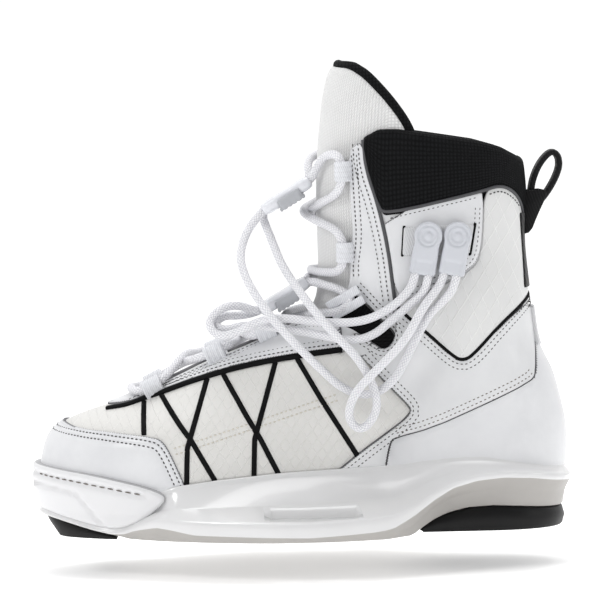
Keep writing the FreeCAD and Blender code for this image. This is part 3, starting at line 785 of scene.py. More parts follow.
# ---------------------------------------------------------------- the boot's surface
class BootForm:
    """The smooth outer surface of the upper, by signed loop position and height.

    The loop position runs from -1 at the back, along the outer side to 0 at the front and
    along the inner side to 1 at the back again.
    """

    FRONT = [(16, -157), (30, -160), (44, -159), (58, -154.5), (66, -146), (71.5, -133), (75.5, -120),
             (80, -107), (84.5, -98), (89, -89), (93, -81), (98, -71), (104, -57), (110.5, -39),
             (117.5, -22), (126, -7), (134, 0.5), (146, 3.2), (170, 3.5), (195, 3.2), (215, 4),
             (239, 6.2), (256, 8.6), (269, 12), (279, 18), (290, 27)]
    BACK = [(16, 143), (30, 146.5), (44, 148), (58, 148), (73, 145.3), (90, 140.8), (99, 136.5),
            (110, 132.5), (128, 130), (142, 128.5), (166, 126.5), (190, 127), (215, 126), (290, 124)]
    FRONT_CAP = [(16, 60), (50, 63), (62, 88), (70, 120), (80, 150), (92, 160), (104, 136),
                 (116, 108), (128, 82), (140, 64), (160, 56), (290, 56)]
    BACK_CAP = [(16, 44), (90, 46), (120, 48), (160, 55), (290, 55)]
    HEEL_HALF = 40.0
    BALL_EXTRA = 13.5
    BALL_X = -82.0
    BALL_SPREAD = 58.0
    SHAFT_HALF = 45.0
    TOE_TURN = 9.0
    CAP_POWER = 2.3
    LOW, HIGH = 16.0, 290.0
    STEPS = 400

    def __init__(self) -> None:
        """Work the surface out on a fine grid of loop positions and heights."""
        self.heights = np.arange(self.LOW, self.HIGH + 0.5, 1.0)
        self.front = self.curve(self.FRONT, self.heights)
        self.back = self.curve(self.BACK, self.heights)
        self.tail = self.curve(self.BACK_CAP, self.heights)
        self.nose = np.minimum(self.curve(self.FRONT_CAP, self.heights),
                               self.back - self.front - self.tail)
        turn = np.linspace(-1, 1, self.STEPS + 1)
        share = (1 - np.cos(math.pi * np.abs(turn))) / 2
        x = self.front + (self.back - self.front) * share[:, None]
        width = self.half(x, self.heights[None, :])
        y = self.centreline(x) + np.sign(turn)[:, None] * width
        z = np.broadcast_to(self.heights, x.shape)
        self.grid = np.stack([x, y, z], axis=-1)
        ring = np.concatenate([self.grid[-2:-1], self.grid, self.grid[1:2]])
        along = ring[2:] - ring[:-2]
        up = np.gradient(self.grid, axis=1)
        normal = np.cross(along, up)
        normal /= np.linalg.norm(normal, axis=-1, keepdims=True) + 1e-9
        self.normals = normal if normal[self.STEPS // 4, 150, 1] < 0 else -normal

    @staticmethod
    def curve(table: Outline, heights: np.ndarray) -> np.ndarray:
        """Smooth curve through rows of height and value.

        Args:
            table: rows of height and value.
            heights: where to read it.

        Returns:
            The values.
        """
        knots = np.array([row[0] for row in table], dtype=float)
        values = np.array([row[1] for row in table], dtype=float)
        slopes = np.gradient(values, knots) if len(table) > 2 else np.zeros(2)
        slopes[1:-1] = (values[2:] - values[:-2]) / (knots[2:] - knots[:-2])
        place = np.clip(np.searchsorted(knots, heights, side="right") - 1, 0, len(table) - 2)
        gap = knots[place + 1] - knots[place]
        t = np.clip((heights - knots[place]) / gap, 0, 1)
        return (values[place] * (1 + 2 * t) * (1 - t) ** 2 + slopes[place] * gap * t * (1 - t) ** 2
                + values[place + 1] * t * t * (3 - 2 * t) + slopes[place + 1] * gap * t * t * (t - 1))

    def centreline(self, x: np.ndarray) -> np.ndarray:
        """Sideways place of the boot's middle at x."""
        return self.TOE_TURN * np.clip((-25.0 - x) / 135.0, 0, 1) ** 2

    def half(self, x: np.ndarray, z: np.ndarray) -> np.ndarray:
        """Half-width at x and height z.

        Args:
            x: positions.
            z: heights.

        Returns:
            Half-widths.
        """
        front, back = self.read(self.front, z), self.read(self.back, z)
        nose, tail = self.read(self.nose, z), self.read(self.tail, z)
        foot = self.HEEL_HALF + self.BALL_EXTRA * np.exp(-((x - self.BALL_X) / self.BALL_SPREAD) ** 2)
        foot = foot * (1 - 0.05 * (np.clip(48 - z, 0, None) / 30.0) ** 2)
        t = np.clip((z - 85) / 65, 0, 1)
        wide = foot + (self.SHAFT_HALF - foot) * t * t * (3 - 2 * t)
        return wide * self.cap(x - front, nose) * self.cap(back - x, tail)

    def cap(self, distance: np.ndarray, length: np.ndarray) -> np.ndarray:
        """Rounded closing of a section towards one end."""
        t = np.clip(distance / length, 0, 1)
        return (1 - (1 - t) ** self.CAP_POWER) ** (1 / self.CAP_POWER)

    def read(self, row: np.ndarray, z: np.ndarray) -> np.ndarray:
        """Value of a row of heights at z."""
        return np.interp(z, self.heights, row)

    def middle(self, z: float, wrap: Wrap = Wrap.BACK) -> tuple[float, float]:
        """Place of the surface's front or back edge at height z, as x and z."""
        return float(self.read(self.front if wrap is Wrap.FRONT else self.back, z)), z

    def turn_at(self, x: float, z: float, side: float) -> float:
        """Loop position of the surface point at x and z on one side.

        Args:
            x: position.
            z: height.
            side: -1 for the outer side, 1 for the inner.

        Returns:
            The signed loop position.
        """
        front, back = float(self.read(self.front, z)), float(self.read(self.back, z))
        share = min(1.0, max(0.0, (x - front) / (back - front)))
        return side * math.acos(1 - 2 * share) / math.pi

    def sample(self, flat: np.ndarray, lift: np.ndarray | float = 0.0) -> np.ndarray:
        """Points on the surface, lifted along its normals.

        Args:
            flat: N by 2 loop positions and heights.
            lift: height above the surface.

        Returns:
            N by 3 points.
        """
        base, normal = self.look(flat)
        return base + normal * np.reshape(np.broadcast_to(lift, len(base)), (-1, 1))

    def look(self, flat: np.ndarray) -> tuple[np.ndarray, np.ndarray]:
        """Points and unit normals of the bare surface.

        Args:
            flat: N by 2 loop positions and heights.

        Returns:
            N by 3 points and N by 3 normals.
        """
        flat = np.asarray(flat, dtype=float)
        turn = np.mod(flat[:, 0] + 1, 2) * self.STEPS / 2
        high = np.clip(flat[:, 1] - self.LOW, 0, len(self.heights) - 1.001)
        i = np.clip(turn.astype(int), 0, self.STEPS - 1)
        k = high.astype(int)
        a, b = (turn - i)[:, None], (high - k)[:, None]
        point = self.mix(self.grid, i, k, a, b)
        point[:, 2] += np.minimum(flat[:, 1] - self.LOW, 0)
        normal = self.mix(self.normals, i, k, a, b)
        return point, normal / (np.linalg.norm(normal, axis=1, keepdims=True) + 1e-9)

    @staticmethod
    def mix(grid: np.ndarray, i: np.ndarray, k: np.ndarray, a: np.ndarray, b: np.ndarray
            ) -> np.ndarray:
        """Blend the four grid values round each place."""
        low = grid[i, k] * (1 - a) + grid[i + 1, k] * a
        high = grid[i, k + 1] * (1 - a) + grid[i + 1, k + 1] * a
        return low * (1 - b) + high * b

    def slide(self, flat: np.ndarray, shift: np.ndarray) -> np.ndarray:
        """Move places along the surface by small 3D shifts.

        Args:
            flat: N by 2 loop positions and heights.
            shift: N by 3 shifts in millimetres.

        Returns:
            The new loop positions and heights.
        """
        flat = np.array(flat, dtype=float)
        target = self.look(flat)[0] + shift
        for _ in range(3):
            here = self.look(flat)[0]
            by_turn = (self.look(flat + (0.004, 0))[0] - self.look(flat - (0.004, 0))[0]) / 0.008
            by_height = (self.look(flat + (0, 0.8))[0] - self.look(flat - (0, 0.8))[0]) / 1.6
            gap = target - here
            aa = (by_turn ** 2).sum(1)
            bb = (by_height ** 2).sum(1)
            ab = (by_turn * by_height).sum(1)
            ga, gb = (gap * by_turn).sum(1), (gap * by_height).sum(1)
            det = aa * bb - ab * ab + 1e-9
            flat[:, 0] += np.clip((ga * bb - gb * ab) / det, -0.05, 0.05)
            flat[:, 1] += np.clip((gb * aa - ga * ab) / det, -8, 8)
        return flat

    def trace(self, points: Outline, side: float, spacing: float = 1.5) -> np.ndarray:
        """Loop positions and heights along an x-z line on one side.

        Args:
            points: x-z points.
            side: -1 or 1.
            spacing: distance between results.

        Returns:
            N by 2 places.
        """
        rough = np.array([(self.turn_at(x, z, side), z) for x, z in resample(np.array(points), 2.0)])
        return self.even(rough, spacing)

    def even(self, flat: np.ndarray, spacing: float, closed: bool = False) -> np.ndarray:
        """Space places evenly by their real distance.

        Args:
            flat: N by 2 places.
            spacing: wanted distance in millimetres.
            closed: treat them as a ring.

        Returns:
            New places.
        """
        line = np.vstack([flat, flat[:1]]) if closed else flat
        steps = np.linalg.norm(np.diff(self.look(line)[0], axis=0), axis=1)
        along = np.concatenate([[0], np.cumsum(steps)])
        count = max(3, int(round(along[-1] / spacing)))
        wanted = np.linspace(0, along[-1], count + 1)
        new = np.column_stack([np.interp(wanted, along, line[:, d]) for d in (0, 1)])
        return new[:-1] if closed else new


@dataclass
class Sheet:
    """One sewn-on layer: an outline on the boot's surface with thickness and a rounded edge."""

    name: str
    outline: Outline
    finish: str
    sides: tuple[Side, ...] | Wrap = (Side.LATERAL, Side.MEDIAL)
    thick: float = 1.3
    lift: float = 0.0
    puff: float = 0.0
    grooves: tuple[float, ...] = ()
    edge: float = 0.8
    spacing: float = 3.2
    rounds: int = 1
    nodes: tuple[str, ...] = ()
    slot: str = ""
    body: str = "boot"
    rim: str = ""
    creases: tuple[tuple[tuple[tuple[float, float], ...], float, float], ...] = ()

    def make(self, shop: Workshop, form: BootForm) -> list[bpy.types.Object]:
        """Build the layer on each side, or once where it wraps round.

        Args:
            shop: the mesh maker.
            form: the boot's surface.

        Returns:
            The new objects.
        """
        if isinstance(self.sides, Wrap):
            return [self.build(shop, form, self.name, self.wrapped(form), self.nodes)]
        made = []
        for side in self.sides:
            outline = soften(self.outline, self.rounds)
            ring = np.array([(form.turn_at(x, z, side.value), z)
                             for x, z in resample(np.array(outline), 1.5, closed=True)])
            word = side.name.lower()
            mine = tuple(n for n in self.nodes if n.endswith(word)) or (
                self.nodes if side is Side.LATERAL and not any(
                    n.endswith(("lateral", "medial")) for n in self.nodes) else ())
            made.append(self.build(shop, form, f"{self.name}_{word}", ring, mine))
        return made

    def wrapped(self, form: BootForm) -> np.ndarray:
        """Ring of an outline that runs round the front or the back.

        Args:
            form: the boot's surface.

        Returns:
            N by 2 places; the outline's two ends lie on the middle of the boot.
        """
        half = np.array(soften(self.outline, self.rounds, closed=False))
        half = resample(half, 1.5)
        turns = np.array([form.turn_at(x, z, 1.0) for x, z in half])
        seam = 0.0 if self.sides is Wrap.FRONT else 1.0
        turns[0] = turns[-1] = seam
        outer = np.column_stack([2 * seam - turns, half[:, 1]])
        inner = np.column_stack([turns, half[:, 1]])[::-1]
        return np.vstack([outer, inner[1:-1]])

    def height(self, distance: np.ndarray) -> np.ndarray:
        """Height of the layer at a distance in from its edge."""
        t = np.clip(distance / self.edge, 0, 1)
        rise = self.thick * np.sqrt(np.clip(1 - (1 - t) ** 2, 0, 1))
        rise += self.puff * (1 - np.exp(-distance / 9.0))
        for place in self.grooves:
            rise -= 0.42 * np.exp(-((distance - place) / 0.7) ** 2)
        return rise + self.lift

    def build(self, shop: Workshop, form: BootForm, name: str, ring: np.ndarray,
              nodes: tuple[str, ...]) -> bpy.types.Object:
        """Mesh one closed layer.

        Args:
            shop: the mesh maker.
            form: the boot's surface.
            name: piece name.
            ring: the outline's places.
            nodes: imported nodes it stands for.

        Returns:
            The new object.
        """
        ring = form.even(ring, min(1.6, self.spacing / 2), closed=True)
        steps = [self.edge * 0.35, self.edge]
        for place in self.grooves:
            steps += [place - 0.8, place, place + 0.8]
        inner = [self.inset(form, ring, s) for s in steps]
        points = np.vstack([ring, *inner, self.filling(ring)])
        edge3 = form.look(ring)[0]
        here = form.look(points)[0]
        distance = np.concatenate([self.nearest(here[i:i + 2000], edge3)
                                   for i in range(0, len(here), 2000)])
        keep = self.thinned(here, distance, len(ring), steps)
        points, distance = points[keep], distance[keep]
        scale = np.array([260.0, 1.0])
        flat = [Vector(p) for p in points * scale]
        count = len(ring)
        edges = [(i, (i + 1) % count) for i in range(count)]
        verts, _, faces, origin, _, _ = delaunay_2d_cdt(flat, edges, [list(range(count))], 1, 1e-4)
        places = np.array([(v.x, v.y) for v in verts]) / scale
        found = np.array([distance[o[0]] if o else 0.0 for o in origin])
        is_edge = np.array([bool(o) and o[0] < count for o in origin])
        found[is_edge] = 0.0
        top = form.sample(places, self.height(found) - self.dents(form.look(places)[0]))
        bottom = form.sample(places, self.lift - 0.7)
        total = len(places)
        all_faces = [tuple(f) for f in faces] + [tuple(i + total for i in f[::-1]) for f in faces]
        walls = self.walls(faces, total)
        finishes = [int(any(is_edge[i] for i in face)) for face in faces]
        finishes += [0] * len(faces) + [1] * len(walls)
        flat_uv = self.layout(form, places)
        return shop.piece(name, np.vstack([top, bottom]), all_faces + walls, self.finish, self.body,
                          nodes, self.slot, uv=np.vstack([flat_uv, flat_uv]),
                          extra=(self.rim,) if self.rim else (),
                          face_finish=finishes if self.rim else None)

    def dents(self, base: np.ndarray) -> np.ndarray:
        """Depth pressed into the layer along its creases."""
        depth = np.zeros(len(base))
        for line, deep, wide in self.creases:
            there_and_back = np.array(line + line[-2:0:-1], dtype=float)
            away = self.nearest(base[:, (0, 2)], there_and_back)
            depth += deep * np.exp(-(away / wide) ** 2)
        return depth

    @staticmethod
    def layout(form: BootForm, places: np.ndarray) -> np.ndarray:
        """Flat layout of places, in millimetres round and up the surface."""
        rise = np.concatenate([[0], np.cumsum(np.hypot(np.diff(form.front), 1.0))])
        near = np.clip(1 - np.abs(places[:, 0]) * 2.5, 0, 1)
        up = places[:, 1] * (1 - near) + form.read(rise, places[:, 1]) * near
        return np.column_stack([places[:, 0] * ROUND, up])

    @staticmethod
    def walls(faces: list[list[int]], total: int) -> list[tuple[int, ...]]:
        """Faces that join the top and bottom sheets along their open edges."""
        seen: dict[tuple[int, int], tuple[int, int]] = {}
        for face in faces:
            for i, a in enumerate(face):
                b = face[(i + 1) % len(face)]
                key = (min(a, b), max(a, b))
                if key in seen:
                    seen[key] = (-1, -1)
                else:
                    seen[key] = (a, b)
        return [(b, a, a + total, b + total) for a, b in seen.values() if a >= 0]

    def filling(self, ring: np.ndarray) -> np.ndarray:
        """Even places inside the ring.

        Args:
            ring: the outline's places.

        Returns:
            N by 2 places.
        """
        low, high = ring[:, 1].min(), ring[:, 1].max()
        left, right = ring[:, 0].min(), ring[:, 0].max()
        rows = np.arange(low + self.spacing * 0.5, high, self.spacing * 0.72)
        columns = np.arange(left, right, self.spacing / ROUND)
        places = np.array([(c + (k % 2) * self.spacing / 2 / ROUND, r) for k, r in enumerate(rows)
                           for c in columns])
        if not len(places):
            return np.zeros((0, 2))
        return places[inside(places, ring)]

    def inset(self, form: BootForm, ring: np.ndarray, distance: float) -> np.ndarray:
        """The ring moved inwards along the surface.

        Args:
            form: the boot's surface.
            ring: the outline's places.
            distance: how far, in millimetres.

        Returns:
            The moved places that are still inside.
        """
        point, normal = form.look(ring)
        way = np.cross(normal, headings(point, closed=True))
        moved = form.slide(ring, way * distance)
        good = inside(moved, ring)
        if good.mean() < 0.5:
            moved = form.slide(ring, -way * distance)
            good = inside(moved, ring)
        return moved[good]

    @staticmethod
    def nearest(points: np.ndarray, edge: np.ndarray) -> np.ndarray:
        """Distance from each point to the closest stretch of a ring."""
        after = np.roll(edge, -1, axis=0)
        best = np.full(len(points), 1e9)
        span = after - edge
        length = (span ** 2).sum(1) + 1e-9
        for i in range(0, len(points), 400):
            part = points[i:i + 400]
            gap = part[:, None] - edge[None]
            t = np.clip((gap * span[None]).sum(-1) / length[None], 0, 1)
            best[i:i + 400] = np.sqrt(((gap - t[..., None] * span[None]) ** 2).sum(-1)).min(1)
        return best

    def thinned(self, here: np.ndarray, distance: np.ndarray, count: int, steps: list[float]
                ) -> np.ndarray:
        """Pick the points to keep: the ring, the insets at their true distance, then the rest."""
        keep = np.zeros(len(here), dtype=bool)
        keep[:count] = True
        on_inset = np.zeros(len(here), dtype=bool)
        for step in steps:
            on_inset |= np.abs(distance - step) < 0.12
        loose = distance > max(steps) + self.spacing * 0.45
        rest = np.arange(len(here)) >= count
        keep |= rest & (on_inset | loose) & (distance > 0.15)
        return keep


def inside(points: np.ndarray, ring: np.ndarray) -> np.ndarray:
    """Whether each 2D point lies inside a ring.

    Args:
        points: N by 2 points.
        ring: M by 2 ring.

    Returns:
        One truth value per point.
    """
    x, y = points[:, 0], points[:, 1]
    result = np.zeros(len(points), dtype=bool)
    after = np.roll(ring, -1, axis=0)
    for (ax, ay), (bx, by) in zip(ring, after):
        if ay == by:
            continue
        crosses = (ay > y) != (by > y)
        result ^= crosses & (x < (bx - ax) * (y - ay) / (by - ay) + ax)
    return result


@dataclass
class Stitching:
    """Rows of single stitches that follow a line on the surface."""

    name: str
    line: Outline
    offsets: tuple[float, ...]
    finish: str = "thread_dark"
    lift: float = 1.3
    pitch: float = 2.7
    length: float = 1.7
    width: float = 0.86
    sides: tuple[Side, ...] = (Side.LATERAL, Side.MEDIAL)
    rounds: int = 1

    def make(self, shop: Workshop, form: BootForm) -> bpy.types.Object:
        """Build every stitch as one piece.

        Args:
            shop: the mesh maker.
            form: the boot's surface.

        Returns:
            The new object.
        """
        points: list[np.ndarray] = []
        faces: list[tuple[int, ...]] = []
        for side in self.sides:
            line = form.trace(soften(self.line, self.rounds, closed=False), side.value, self.pitch)
            for offset in self.offsets:
                self.add_row(form, self.moved(form, line, offset * side.value), points, faces)
        return shop.piece(self.name, np.vstack(points), faces, self.finish)

    def moved(self, form: BootForm, line: np.ndarray, offset: float) -> np.ndarray:
        """The line moved sideways along the surface and spaced evenly again."""
        point, normal = form.look(line)
        way = np.cross(normal, headings(point))
        return form.even(form.slide(line, way * offset), self.pitch)

    def add_row(self, form: BootForm, line: np.ndarray, points: list[np.ndarray],
                faces: list[tuple[int, ...]]) -> None:
        """Add one row of stitches.

        Args:
            form: the boot's surface.
            line: places of the stitches.
            points: list of point arrays to extend.
            faces: list of faces to extend.
        """
        place, normal = form.look(line)
        place = place + normal * self.lift
        tangent = headings(place)
        across = np.cross(normal, tangent)
        angle = np.linspace(0, 2 * math.pi, 6, endpoint=False)
        grain = [(-0.5, 0.0, 0.0)]
        for along, size in ((-0.36, 0.75), (0.0, 1.0), (0.36, 0.75)):
            grain += [(along, size * math.cos(w), size * 0.8 * math.sin(w)) for w in angle]
        grain = np.array(grain + [(0.5, 0.0, 0.0)]) * (self.length, self.width / 2, self.width / 2)
        shell = [(0, 1 + (i + 1) % 6, 1 + i) for i in range(6)]
        shell += [(19, 13 + i, 13 + (i + 1) % 6) for i in range(6)]
        shell += [(1 + r + i, 1 + r + (i + 1) % 6, 7 + r + (i + 1) % 6, 7 + r + i)
                  for r in (0, 6) for i in range(6)]
        for p, t, n, a in zip(place[1:-1], tangent[1:-1], normal[1:-1], across[1:-1]):
            start = 20 * len(points)
            points.append(p + grain @ np.array([t, a, n]))
            faces.extend(tuple(start + i for i in face) for face in shell)


@dataclass
class Piping:
    """Round or flat cord sewn along a line on the surface."""

    name: str
    line: Outline
    radius: float
    finish: str
    lift: float = 0.6
    flat: float = 0.7
    sides: tuple[Side, ...] | Wrap = (Side.LATERAL, Side.MEDIAL)
    nodes: tuple[str, ...] = ()
    slot: str = ""
    body: str = "boot"

    def make(self, shop: Workshop, form: BootForm) -> list[bpy.types.Object]:
        """Build the piping.

        Args:
            shop: the mesh maker.
            form: the boot's surface.

        Returns:
            The new objects.
        """
        line = soften(self.line, 2, closed=False)
        if isinstance(self.sides, Wrap):
            half = form.trace(line, 1.0)
            turn = 0.0 if self.sides is Wrap.FRONT else 1.0
            half[0, 0] = turn
            other = half[:0:-1].copy()
            other[:, 0] = 2 * turn - other[:, 0]
            runs = {self.name: np.vstack([other, half])}
        else:
            runs = {f"{self.name}_{side.name.lower()}": form.trace(line, side.value)
                    for side in self.sides}
        made = []
        for name, run in runs.items():
            run = form.even(run, 1.5)
            point, normal = form.look(run)
            made.append(shop.tube(name, point + normal * self.lift, self.radius, self.finish,
                                  self.body, self.nodes if not made else (), self.slot,
                                  sides=12, flat=self.flat, up=normal))
        return made


# ---------------------------------------------------------------- the upper
@dataclass
class Upper:
    """Shells, sewn-on overlays, stitching and piping of the boot's body."""

    throat: Outline = field(default_factory=lambda: [
        (-97, 82.5), (-84, 88.8), (-72, 94.5), (-58, 100.5), (-40, 107.5), (-23, 114.5), (-6, 122.5),
        (9, 126)])
    shaft_front: Outline = field(default_factory=lambda: [
        (20, 138), (25, 148), (24.5, 157), (27, 172), (26, 194), (25, 222)])
    vamp_rear: Outline = field(default_factory=lambda: [
        (20.5, 108), (29, 104.5), (43.5, 88), (56, 75), (58.5, 71), (53, 65), (27.5, 47), (11, 34)])
    eyestay_rear: Outline = field(default_factory=lambda: [
        (34, 229), (35, 212), (41.5, 191), (46.5, 166), (49, 143), (50, 134)])
    cuff_foot: Outline = field(default_factory=lambda: [
        (50, 134), (54.5, 128.5), (65, 119.5), (83, 102.5), (88.5, 99.7), (94.5, 102.5), (110, 119.5),
        (131, 138)])
    piping: Outline = field(default_factory=lambda: [
        (-119, 72.5), (-108, 76), (-98, 79.5), (-84, 84.5), (-66, 91), (-40, 98.5), (-6, 104.3),
        (19, 107.5)])
    counter: Outline = field(default_factory=lambda: [
        (41, 30), (45.5, 53), (48, 55.5), (70.5, 61), (100, 73.5), (128, 86), (131, 90)])
    gusset: Outline = field(default_factory=lambda: [
        (20, 138), (28.7, 138.5), (38.4, 129), (43, 123), (49, 118), (50, 114), (44, 106.5),
        (35.7, 112), (25.6, 118.8), (9, 126)])
    strips: tuple[tuple[tuple[float, float], ...], ...] = (
        ((-97.5, 79), (-97, 61)), ((-87.5, 83), (-69.5, 57.4), (-56, 33)),
        ((-60, 92), (-72, 53), (-73, 31)), ((-51, 95), (-29.6, 57), (-18.5, 34)),
        ((-20, 101), (-33, 57), (-34, 33)), ((-7.5, 103), (5.5, 80), (27.2, 44.4)))
    overlay: float = 1.3

    def shells(self, shop: Workshop, form: BootForm) -> None:
        """The cloth shells that everything else is sewn to."""
        front_top = form.middle(84.0, Wrap.FRONT)
        front_low = form.middle(22.0, Wrap.FRONT)
        vamp = ([front_top] + self.throat + [(15, 117)] + self.vamp_rear + [(11, 22), front_low])
        Sheet("vamp_ripstop", vamp, "vamp_ripstop", Wrap.FRONT, thick=2.2, lift=-2.2,
              rounds=0, nodes=("vamp_shell",), slot="vamp_ripstop").make(shop, form)
        back_top, back_low = form.middle(190.0), form.middle(22.0)
        quarter = ([back_top, (46, 186), (37, 222), (26, 222)] + self.shaft_front[-2::-1]
                   + [(9, 126), (15, 117)] + self.vamp_rear + [(11, 22), back_low])
        Sheet("quarter_shell", quarter, "leather_warm", Wrap.BACK, thick=2.2, lift=-2.2, rounds=0,
              nodes=both("quarter"), slot="shell_fabric").make(shop, form)
        Sheet("ankle_gusset", self.gusset, "black_mesh", thick=0.5, rounds=0,
              nodes=both("gusset"), slot="black_mesh").make(shop, form)

    def lining(self, shop: Workshop, form: BootForm) -> None:
        """The dark lining seen through the top of the boot."""
        back_top, back_low = form.middle(205.0), form.middle(26.0)
        area = [back_top, (100, 218), (62, 226), (62, 200), (55, 165), (44, 140), (36, 120), (20, 112),
                (-20, 92), (-60, 78), (-96, 72), (-100, 26), back_low]
        Sheet("boot_lining", area, "lining_fabric", Wrap.BACK, thick=3.0, lift=-6.0, spacing=5.0,
              rounds=0, nodes=("lining",), slot="lining_fabric").make(shop, form)

    def leathers(self, shop: Workshop, form: BootForm) -> None:
        """The leather and ripstop overlays."""
        toe_top = form.middle(66.5, Wrap.FRONT)
        toe_low = form.middle(24.0, Wrap.FRONT)
        toe = [toe_top, (-136, 63.5), (-114, 62), (-90, 59.8), (-85.5, 57), (-82.3, 51.5),
               (-77, 39.5), (-71, 24), toe_low]
        Sheet("toe_cap", toe, "leather", Wrap.FRONT, rim="cut_edge", thick=self.overlay + 0.2, rounds=1,
              grooves=(2.4, 5.6), nodes=("toe_cap",), slot="leather").make(shop, form)
        throat_end = form.middle(85.5, Wrap.FRONT)
        piping_end = form.middle(75.5, Wrap.FRONT)
        eyestay_low = ([throat_end] + self.throat + [(16, 125), (19, 121), (19, 109)]
                       + [(x, z + 1.2) for x, z in self.piping[::-1]][:-1] + [piping_end])
        Sheet("lower_eyestay", eyestay_low, "leather", Wrap.FRONT, rim="cut_edge", thick=self.overlay + 0.2,
              rounds=1, grooves=(2.4,),
              nodes=both("lower_eyestay"), slot="leather").make(shop, form)
        eyestay_up = ([(25, 223)] + self.shaft_front[::-1][1:-1] + [(22, 140), (29.5, 139),
                      (38.4, 129.5), (43, 123.5), (48.5, 122)] + self.eyestay_rear[::-1])
        Sheet("upper_eyestay", eyestay_up, "leather", rim="cut_edge", thick=self.overlay + 0.4,
              grooves=(2.4, 5.2),
              nodes=both("upper_eyestay"), slot="leather").make(shop, form)
        patch = [(44, 185), (99, 197), (102.5, 197.5), (101, 171), (98.6, 159), (94.6, 153.5),
                 (82, 147), (59.5, 136), (50.5, 138.5), (47.5, 166)]
        Sheet("handle_patch", patch, "leather", rim="cut_edge", thick=self.overlay + 0.1,
              nodes=both("handle_patch"), slot="leather").make(shop, form)
        cuff_back = form.middle(178.0)
        cuff_low = form.middle(137.0)
        cuff = ([cuff_back, (124.5, 190), (120, 196.8), (112, 200.8), (102.9, 197.6), (101.7, 171),
                 (99.2, 158.8), (95, 153), (82.3, 146.4), (59.6, 135.4), (51, 136.5)]
                + self.cuff_foot[1:-1] + [(124, 131.5), cuff_low])
        Sheet("cuff_ripstop", cuff, "cuff_ripstop", Wrap.BACK, thick=0.8, puff=0.5, rounds=1,
              nodes=both("cuff_panel"), slot="cuff_ripstop").make(shop, form)
        rear = ([(20.5, 108.5)] + self.gusset[8:4:-1] + [(50.5, 133)]
                + [(x, z - 0.6) for x, z in self.cuff_foot[1:-1]] + [(130, 134), (131.5, 110), (131, 90)]
                + self.counter[-2::-1] + [(25, 24), (11, 26)] + self.vamp_rear[::-1][:-1])
        Sheet("quarter_leather", rear, "leather_warm", rim="cut_edge", thick=self.overlay, rounds=1,
              nodes=both("quarter_leather"),
              slot="leather").make(shop, form)
        heel_top = form.middle(134.0)
        heel_low = form.middle(24.0)
        heel = [heel_top, (131, 130), (131.2, 105)] + self.counter[::-1] + [(39, 24), heel_low]
        Sheet("heel_counter", heel, "leather", Wrap.BACK, thick=self.overlay + 0.5, puff=0.6,
              rim="cut_edge", rounds=1, nodes=("heel_counter",), slot="leather").make(shop, form)

    def trims(self, shop: Workshop, form: BootForm) -> None:
        """Strips, piping, tabs and straps."""
        for i, strip in enumerate(self.strips):
            Sheet(f"vamp_strip_{i}", ribbon(list(strip), 3.1), "black_strip", thick=0.75, lift=-0.05,
                  edge=0.5, spacing=2.0, rounds=0, nodes=("vamp_strips",) if i == 0 else (),
                  slot="black_strip").make(shop, form)
        Piping("vamp_piping", [(-119.5, 74.0)] + self.piping[1:], 1.75, "black_strip", lift=0.7,
               flat=0.75, nodes=("vamp_piping",), slot="black_strip").make(shop, form)
        Piping("eyestay_piping", self.eyestay_rear[::-1], 1.3, "grey_strip", lift=0.9,
               flat=0.7).make(shop, form)
        Piping("cuff_piping", self.cuff_foot[:-1] + [(124, 131), (130.4, 136.5)], 1.0, "black_strip",
               lift=0.8, flat=0.6).make(shop, form)
        Piping("gusset_edge", self.gusset[1:6], 0.5, "thread_dark", lift=0.9).make(shop, form)
        tab_top, tab_low = form.middle(129.0), form.middle(105.0)
        Sheet("heel_tab", [tab_top, (129, 129), (131.6, 105), tab_low], "grey_webbing", Wrap.BACK,
              thick=1.6, lift=1.6, rounds=0, spacing=2.0, nodes=("heel_tab",),
              slot="trim_grey").make(shop, form)
        strap_top, strap_low = form.middle(184.0), form.middle(140.0)
        Sheet("backstay_strap", [strap_top, (123.6, 184), (125.4, 140), strap_low], "black_webbing",
              Wrap.BACK, thick=1.0, lift=1.0, rounds=0, spacing=2.0, nodes=("backstay_strap",),
              slot="black_webbing").make(shop, form)

